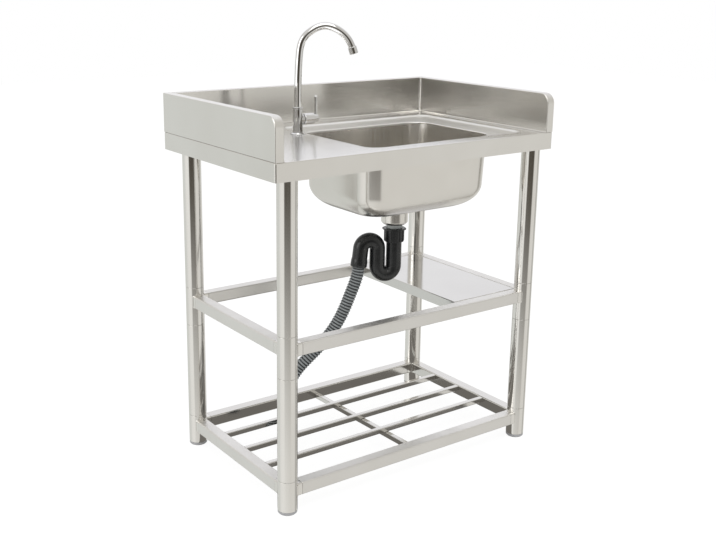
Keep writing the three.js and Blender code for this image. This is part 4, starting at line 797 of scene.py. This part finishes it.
def half_shelf():
    clear, notch = RAIL / 2 + GAP, LEG + GAP
    x0, x1, y0 = SHELF_LEFT, LEG_X - clear, LEG_FRONT + clear
    chord = math.sqrt(notch ** 2 - clear ** 2)
    spare = math.pi / 2 - math.acos(clear / notch)
    outline = [(x0, y0), (LEG_X - chord, y0)]
    for k in range(1, 8):
        angle = math.pi - spare - (math.pi / 2 - 2 * spare) * k / 8
        outline.append((LEG_X + notch * math.cos(angle), LEG_FRONT + notch * math.sin(angle)))
    outline.append((x1, LEG_FRONT + chord))
    outline += [(x, LEG_REAR + LEG_FRONT - y) for x, y in outline[::-1]]
    inner = offset_inwards(outline, SHEET)
    bottom = MID_TOP - SHELF_FOLD
    shell = Shell()
    above = [[(x, y, bottom) for x, y in outline]]
    above += [[(x, y, MID_TOP - drop) for x, y in offset_inwards(outline, pull)]
              for drop, pull in quarter(1.8, 4)]
    under = [[(x, y, z) for x, y in inner] for z in (bottom, MID_TOP - SHEET)]
    for side in (above, under):
        shell.loft(side, close=False)
        base = len(shell.points) - len(outline)
        shell.faces.append(tuple(range(base, base + len(outline))))
    shell.loft([above[0], under[0]], close=False)
    shell.piece("half_shelf", "folded", SHADED_SHELF_STEEL, "polished_steel", sharp=40)


def offset_inwards(outline, distance):
    """A closed outline, against the clock, moved inwards."""
    moved, count = [], len(outline)
    for i in range(count):
        here = Vector(outline[i])
        back = (here - Vector(outline[i - 1])).normalized()
        ahead = (Vector(outline[(i + 1) % count]) - here).normalized()
        normal = Vector((-back.y - ahead.y, back.x + ahead.x)).normalized()
        share = max(normal.dot(Vector((-ahead.y, ahead.x))), 0.3)
        moved.append(tuple(here + normal * distance / share))
    return moved


def rack():
    end = RAIL / 2 + GAP
    top = BASE_TOP - BAR_DROP
    for name, across in zip(("front", "middle", "rear"), BAR_ROWS):
        Shell().bar("x", -LEG_X + end, LEG_X - end, across, top - BAR / 2, BAR, 1.8, 1, 0.4).piece(
            f"rack_bar_{name}", "tube", SHADED_BAR_STEEL, "polished_steel")
    half = (LEG_REAR - LEG_FRONT) / 2 - end - math.sin(CROSS_TURN) * BAR / 2
    shell = Shell().bar("y", -half, half, 0, top - BAR - GAP - BAR / 2, BAR, 1.8, 1, 0.4)
    turn = Matrix.Rotation(CROSS_TURN, 4, "Z")
    middle = Vector((CROSS_X, BAR_ROWS[1], 0))
    shell.points = [tuple(turn @ Vector(p) + middle) for p in shell.points]
    shell.piece("rack_cross_bar", "tube", SHADED_BAR_STEEL, "polished_steel")


stand()
half_shelf()
rack()


# ---- tap ------------------------------------------------------------------------------------------
def along_x(profile, shell=None):
    """A profile of (radius, reach) turned about the valve's axis."""
    place = Matrix.Translation((TAP_X, TAP_Y, VALVE_Z)) @ Matrix.Rotation(math.pi / 2, 4, "Y")
    return (shell or Shell()).turn(profile, frame_of=place)


def tap():
    hole, foot = 10.3, TOP + GAP
    Shell().turn(rounded([(hole, foot, 0.2), (TAP_FLANGE, foot, 0.4), (TAP_FLANGE, foot + 1.4, 0.8),
                          (14, foot + 4, 1.4), (hole, foot + 4, 0.2)]), TAP_X, TAP_Y, 72).piece(
        "tap_flange", "turned", CHROME, "chrome")
    top, socket = TAP_BODY_TOP + 4, SPOUT + GAP
    body = Shell().turn(rounded([
        (7, TAP_FOOT, 0.3), (TAP_BODY, TAP_FOOT, 0.6), (TAP_BODY, TAP_BODY_TOP - 1.2, 0.3),
        (TAP_BODY - 0.6, TAP_BODY_TOP - 0.9, 0.2), (TAP_BODY - 0.6, TAP_BODY_TOP - 0.1, 0.2),
        (TAP_COLLAR, TAP_BODY_TOP, 0.4), (TAP_COLLAR, top - 0.6, 0.8), (TAP_COLLAR - 1, top, 0.6),
        (socket, top, 0.4), (socket, top - 20, 0.2), (7, top - 21, 0.2)]), TAP_X, TAP_Y, 72)
    along_x(rounded([(4, 4, 0), (11, 4, 0), (11, 14.4, 0.5), (10.4, 15, 0.3), (4, 15, 0)]), body)
    # the body takes the darker copy of the chrome, as painted shade
    body.piece("tap_body", "turned", SHADED_BODY_CHROME, "chrome")
    along_x(rounded([(0, VALVE_START, 0), (VALVE - 1, VALVE_START, 0.5), (VALVE, VALVE_START + 1.1, 0.8),
                     (VALVE, VALVE_END - 1.1, 0.8), (VALVE - 1, VALVE_END, 0.5), (5.3, VALVE_END, 0.2),
                     (5.3, 31.7, 0), (0, 31.7, 0)])).piece(
        "tap_valve", "turned", CHROME, "chrome")
    near, tip = VALVE_END + GAP, VALVE_Z + LEVER_LENGTH
    hub = along_x(rounded([(0, 32.3, 0), (5, 32.3, 0.4), (5, near, 0), (HUB - 0.8, near, 0.4),
                           (HUB, near + 0.9, 0.6), (HUB, HUB_END - 1.2, 1), (HUB - 1, HUB_END, 0.8),
                           (0, HUB_END, 0)]))
    lever = [(0, VALVE_Z, 0), (LEVER, VALVE_Z, 0), (LEVER, tip - 2, 1.6), (2.2, tip, 1.4), (0, tip, 0)]
    hub.turn(rounded(lever, 5), TAP_X + LEVER_REACH, TAP_Y, 32)
    hub.piece("tap_lever", "turned", CHROME, "chrome", body="lever")
    in_spout_plane = upright_plane(TAP_X, TAP_Y, SPOUT_HEADING, TOP)
    line, _ = spline([in_spout_plane(s, z) for s, z in SPOUT_ROUTE], 3)
    Shell().tube(line, [SPOUT] * len(line), 40, plane_side(in_spout_plane), SPOUT_BORE).piece(
        "tap_spout", "bent", CHROME, "chrome", body="spout", weighted=False, sharp=50)
    ahead = (line[-1] - line[-2]).normalized()
    turn = Vector((0, 0, 1)).rotation_difference(-ahead).to_matrix().to_4x4()
    place = Matrix.Translation(line[-1] + ahead * 5.3) @ turn
    Shell().turn(rounded([(6, 0, 0.3), (AERATOR - 0.5, 0, 0.5), (AERATOR, 1.2, 0.5),
                          (AERATOR, AERATOR_LENGTH - 0.6, 0.6), (AERATOR - 0.5, AERATOR_LENGTH, 0.4),
                          (socket, AERATOR_LENGTH, 0.2), (socket, 5, 0.2), (6, 5, 0.2)]), sides=56,
                 frame_of=place).piece(
        "tap_aerator", "turned", CHROME, "chrome", body="spout")
    thread = [(7, TOP - 55, 0.2), (9.2, TOP - 55, 0.3)]
    for k in range(22):
        z = TOP - 54 + 2 * k
        thread += [(10, z, 0.1), (9.3, z + 1, 0.1)]
    thread += [(10, TOP - 9, 0.2), (10, TAP_FOOT + 14, 0.5), (7, TAP_FOOT + 14, 0.2)]
    Shell().turn(rounded(thread, 2), TAP_X, TAP_Y, 40).piece(
        "tap_shank", "threaded", CHROME, "chrome", sharp=50)
    under = TOP - SHEET - GAP
    washer = [(hole, under - 2, 0), (20, under - 2, 0.4), (20, under, 0.4), (hole, under, 0)]
    hexagon = [(hole, under - 9, 0.3), (15.4, under - 9, 0.4), (16, under - 8.2, 0.3), (16, under - 1, 0),
               (hole, under - 1, 0)]
    nut = Shell().turn(rounded(washer), TAP_X, TAP_Y, 56).turn(rounded(hexagon), TAP_X, TAP_Y, 6)
    nut.piece("tap_nut", "hexagon", CHROME, "chrome")


tap()


# ---- floor, world and lamps -----------------------------------------------------------------------
def staged_sheet(name, x0, x1, y0, y1, z, hidden_from):
    """A flat sheet of the stage, in metres, hidden from some rays, and the empty node tree of its material."""
    mesh = bpy.data.meshes.new(name)
    mesh.from_pydata([(x0, y0, z), (x1, y0, z), (x1, y1, z), (x0, y1, z)], [], [(0, 1, 2, 3)])
    sheet = new_object(name, mesh)
    for rays in hidden_from:
        setattr(sheet, f"visible_{rays}", False)
    material = bpy.data.materials.new(f"{name}_look")
    material.use_nodes = True
    material.node_tree.nodes.clear()
    mesh.materials.append(material)
    return material.node_tree


def shadow_floor():
    """A pale floor that keeps the unit's shadow, and is white to the camera."""
    tree = staged_sheet("floor", -9, 9, -9, 9, 0, ["glossy"])
    paper = add_node(tree, "ShaderNodeBsdfDiffuse", {"Color": (0.95, 0.95, 0.95, 1)})
    glow = add_node(tree, "ShaderNodeEmission", {"Strength": 1.1})
    seen = add_node(tree, "ShaderNodeMixShader", {0: 0.82, 1: paper.outputs[0], 2: glow.outputs[0]})
    plain = add_node(tree, "ShaderNodeBsdfDiffuse", {"Color": (0.8, 0.8, 0.8, 1)})
    path = add_node(tree, "ShaderNodeLightPath")
    both = add_node(tree, "ShaderNodeMixShader", {
        0: path.outputs["Is Camera Ray"], 1: plain.outputs[0], 2: seen.outputs[0]})
    add_node(tree, "ShaderNodeOutputMaterial", {0: both.outputs[0]})


def painted_shade_floor():
    """A dark glowing sheet of painted shade under the unit, seen only in reflections: the floor in the unit's
    own shade, as the metal of the lower rack mirrors it.
    """
    tree = staged_sheet("shade", -0.37, 0.37, -0.237, 0.18, 0.0006,
                        ["camera", "diffuse", "shadow", "transmission"])
    glow = add_node(tree, "ShaderNodeEmission", {"Color": (0.19, 0.18, 0.165, 1)})
    add_node(tree, "ShaderNodeOutputMaterial", {0: glow.outputs[0]})


# What the metal sees round it, by azimuth in degrees from +X towards +Y: low down and above the horizon.
AROUND_LOW = [(-180, (0.93, 0.925, 0.90)), (-70, (0.80, 0.785, 0.75)), (20, (0.78, 0.77, 0.74)),
              (60, (0.74, 0.745, 0.72)), (135, (0.76, 0.775, 0.75)), (160, (0.90, 0.895, 0.875)),
              (180, (0.93, 0.925, 0.90))]
AROUND_HIGH = [(-180, (0.85, 0.83, 0.80)), (-110, (0.62, 0.60, 0.56)), (-50, (0.68, 0.66, 0.62)),
               (10, (0.90, 0.89, 0.89)), (45, (1.0, 0.995, 1.02)), (85, (1.0, 0.995, 1.02)),
               (125, (0.72, 0.70, 0.66)), (180, (0.85, 0.83, 0.80))]
DIM = (0.085, 0.075, 0.06, 1)        # of the unlit side of the room, behind the camera
DIM_AZIMUTH = (-160, -148, -92, -74)  # where it starts, is full, is still full and ends
DIM_HEIGHT = (-0.5, -0.17, 0.1, 0.42)  # the same for the height of the direction
STRIPS = [                            # fainter dim strips: share, azimuths and heights as above
    (0.4, (-32, -24, -8, 2), (-0.7, -0.5, 0.4, 0.6)),
    (0.7, (34, 46, 64, 76), (-0.65, -0.5, -0.33, -0.28)),
]


def studio():
    world = bpy.data.worlds.new("studio")
    bpy.context.scene.world = world
    world.use_nodes = True
    tree = world.node_tree
    tree.nodes.clear()

    def sum_node(operation, *values):
        return add_node(tree, "ShaderNodeMath", dict(enumerate(values)), operation=operation).outputs[0]

    def eased(value, start, end, kind="SMOOTHSTEP"):
        return add_node(tree, "ShaderNodeMapRange", {"Value": value, "From Min": start, "From Max": end},
                        interpolation_type=kind).outputs["Result"]

    def between(value, start, full, still, end):
        falling = sum_node("SUBTRACT", 1, eased(value, still, end))
        return sum_node("MULTIPLY", eased(value, start, full), falling)

    def around(azimuth, stops):
        ramp = add_node(tree, "ShaderNodeValToRGB", {"Fac": eased(azimuth, -180, 180, "LINEAR")})
        ramp.color_ramp.interpolation = "EASE"
        elements = ramp.color_ramp.elements
        for degrees, _ in stops[1:-1]:
            elements.new((degrees + 180) / 360)
        for element, (degrees, colour) in zip(elements, stops):
            element.position, element.color = (degrees + 180) / 360, (*colour, 1)
        return ramp.outputs["Color"]

    def mixed(share, first, second):
        return add_node(tree, "ShaderNodeMix", {0: share, 6: first, 7: second}, data_type="RGBA").outputs[2]

    def background(colour):
        return add_node(tree, "ShaderNodeBackground", {"Color": colour}).outputs[0]

    def chosen(share, first, second):
        return add_node(tree, "ShaderNodeMixShader", {0: share, 1: first, 2: second}).outputs[0]
    place = add_node(tree, "ShaderNodeTexCoord").outputs["Generated"]
    way = add_node(tree, "ShaderNodeSeparateXYZ", {0: place}).outputs
    azimuth = sum_node("MULTIPLY", sum_node("ARCTAN2", way["Y"], way["X"]), 180 / math.pi)
    height = way["Z"]
    lit = mixed(eased(height, -0.05, 0.15), around(azimuth, AROUND_LOW), around(azimuth, AROUND_HIGH))
    dim = sum_node("MULTIPLY", between(azimuth, *DIM_AZIMUTH), between(height, *DIM_HEIGHT))
    for share, across, up in STRIPS:
        strip = sum_node("MULTIPLY", between(azimuth, *across), between(height, *up))
        dim = sum_node("MAXIMUM", dim, sum_node("MULTIPLY", strip, share))
    room = background(mixed(dim, lit, DIM))
    rays = add_node(tree, "ShaderNodeLightPath").outputs
    seen = chosen(rays["Is Glossy Ray"], background((0.72, 0.72, 0.72, 1)), room)
    add_node(tree, "ShaderNodeOutputWorld", {
        "Surface": chosen(rays["Is Camera Ray"], seen, background((1, 1, 1, 1)))})


def lamp(name, place, aim, size, watts):
    data = bpy.data.lights.new(name, "AREA")
    data.shape, data.size, data.size_y, data.energy = "RECTANGLE", size[0], size[1], watts
    light = new_object(name, data)
    light.location = place
    light.rotation_euler = (Vector(aim) - Vector(place)).to_track_quat("-Z", "Y").to_euler()


shadow_floor()
painted_shade_floor()
studio()
lamp("softbox_above", (-0.6, -1.2, 3.2), (0, 0, 0.5), (2.4, 2.4), 34)
lamp("softbox_left", (-3.0, 0.2, 1.6), (0, 0, 0.5), (1.6, 2.2), 18)

bpy.context.scene.view_settings.view_transform = "Standard"
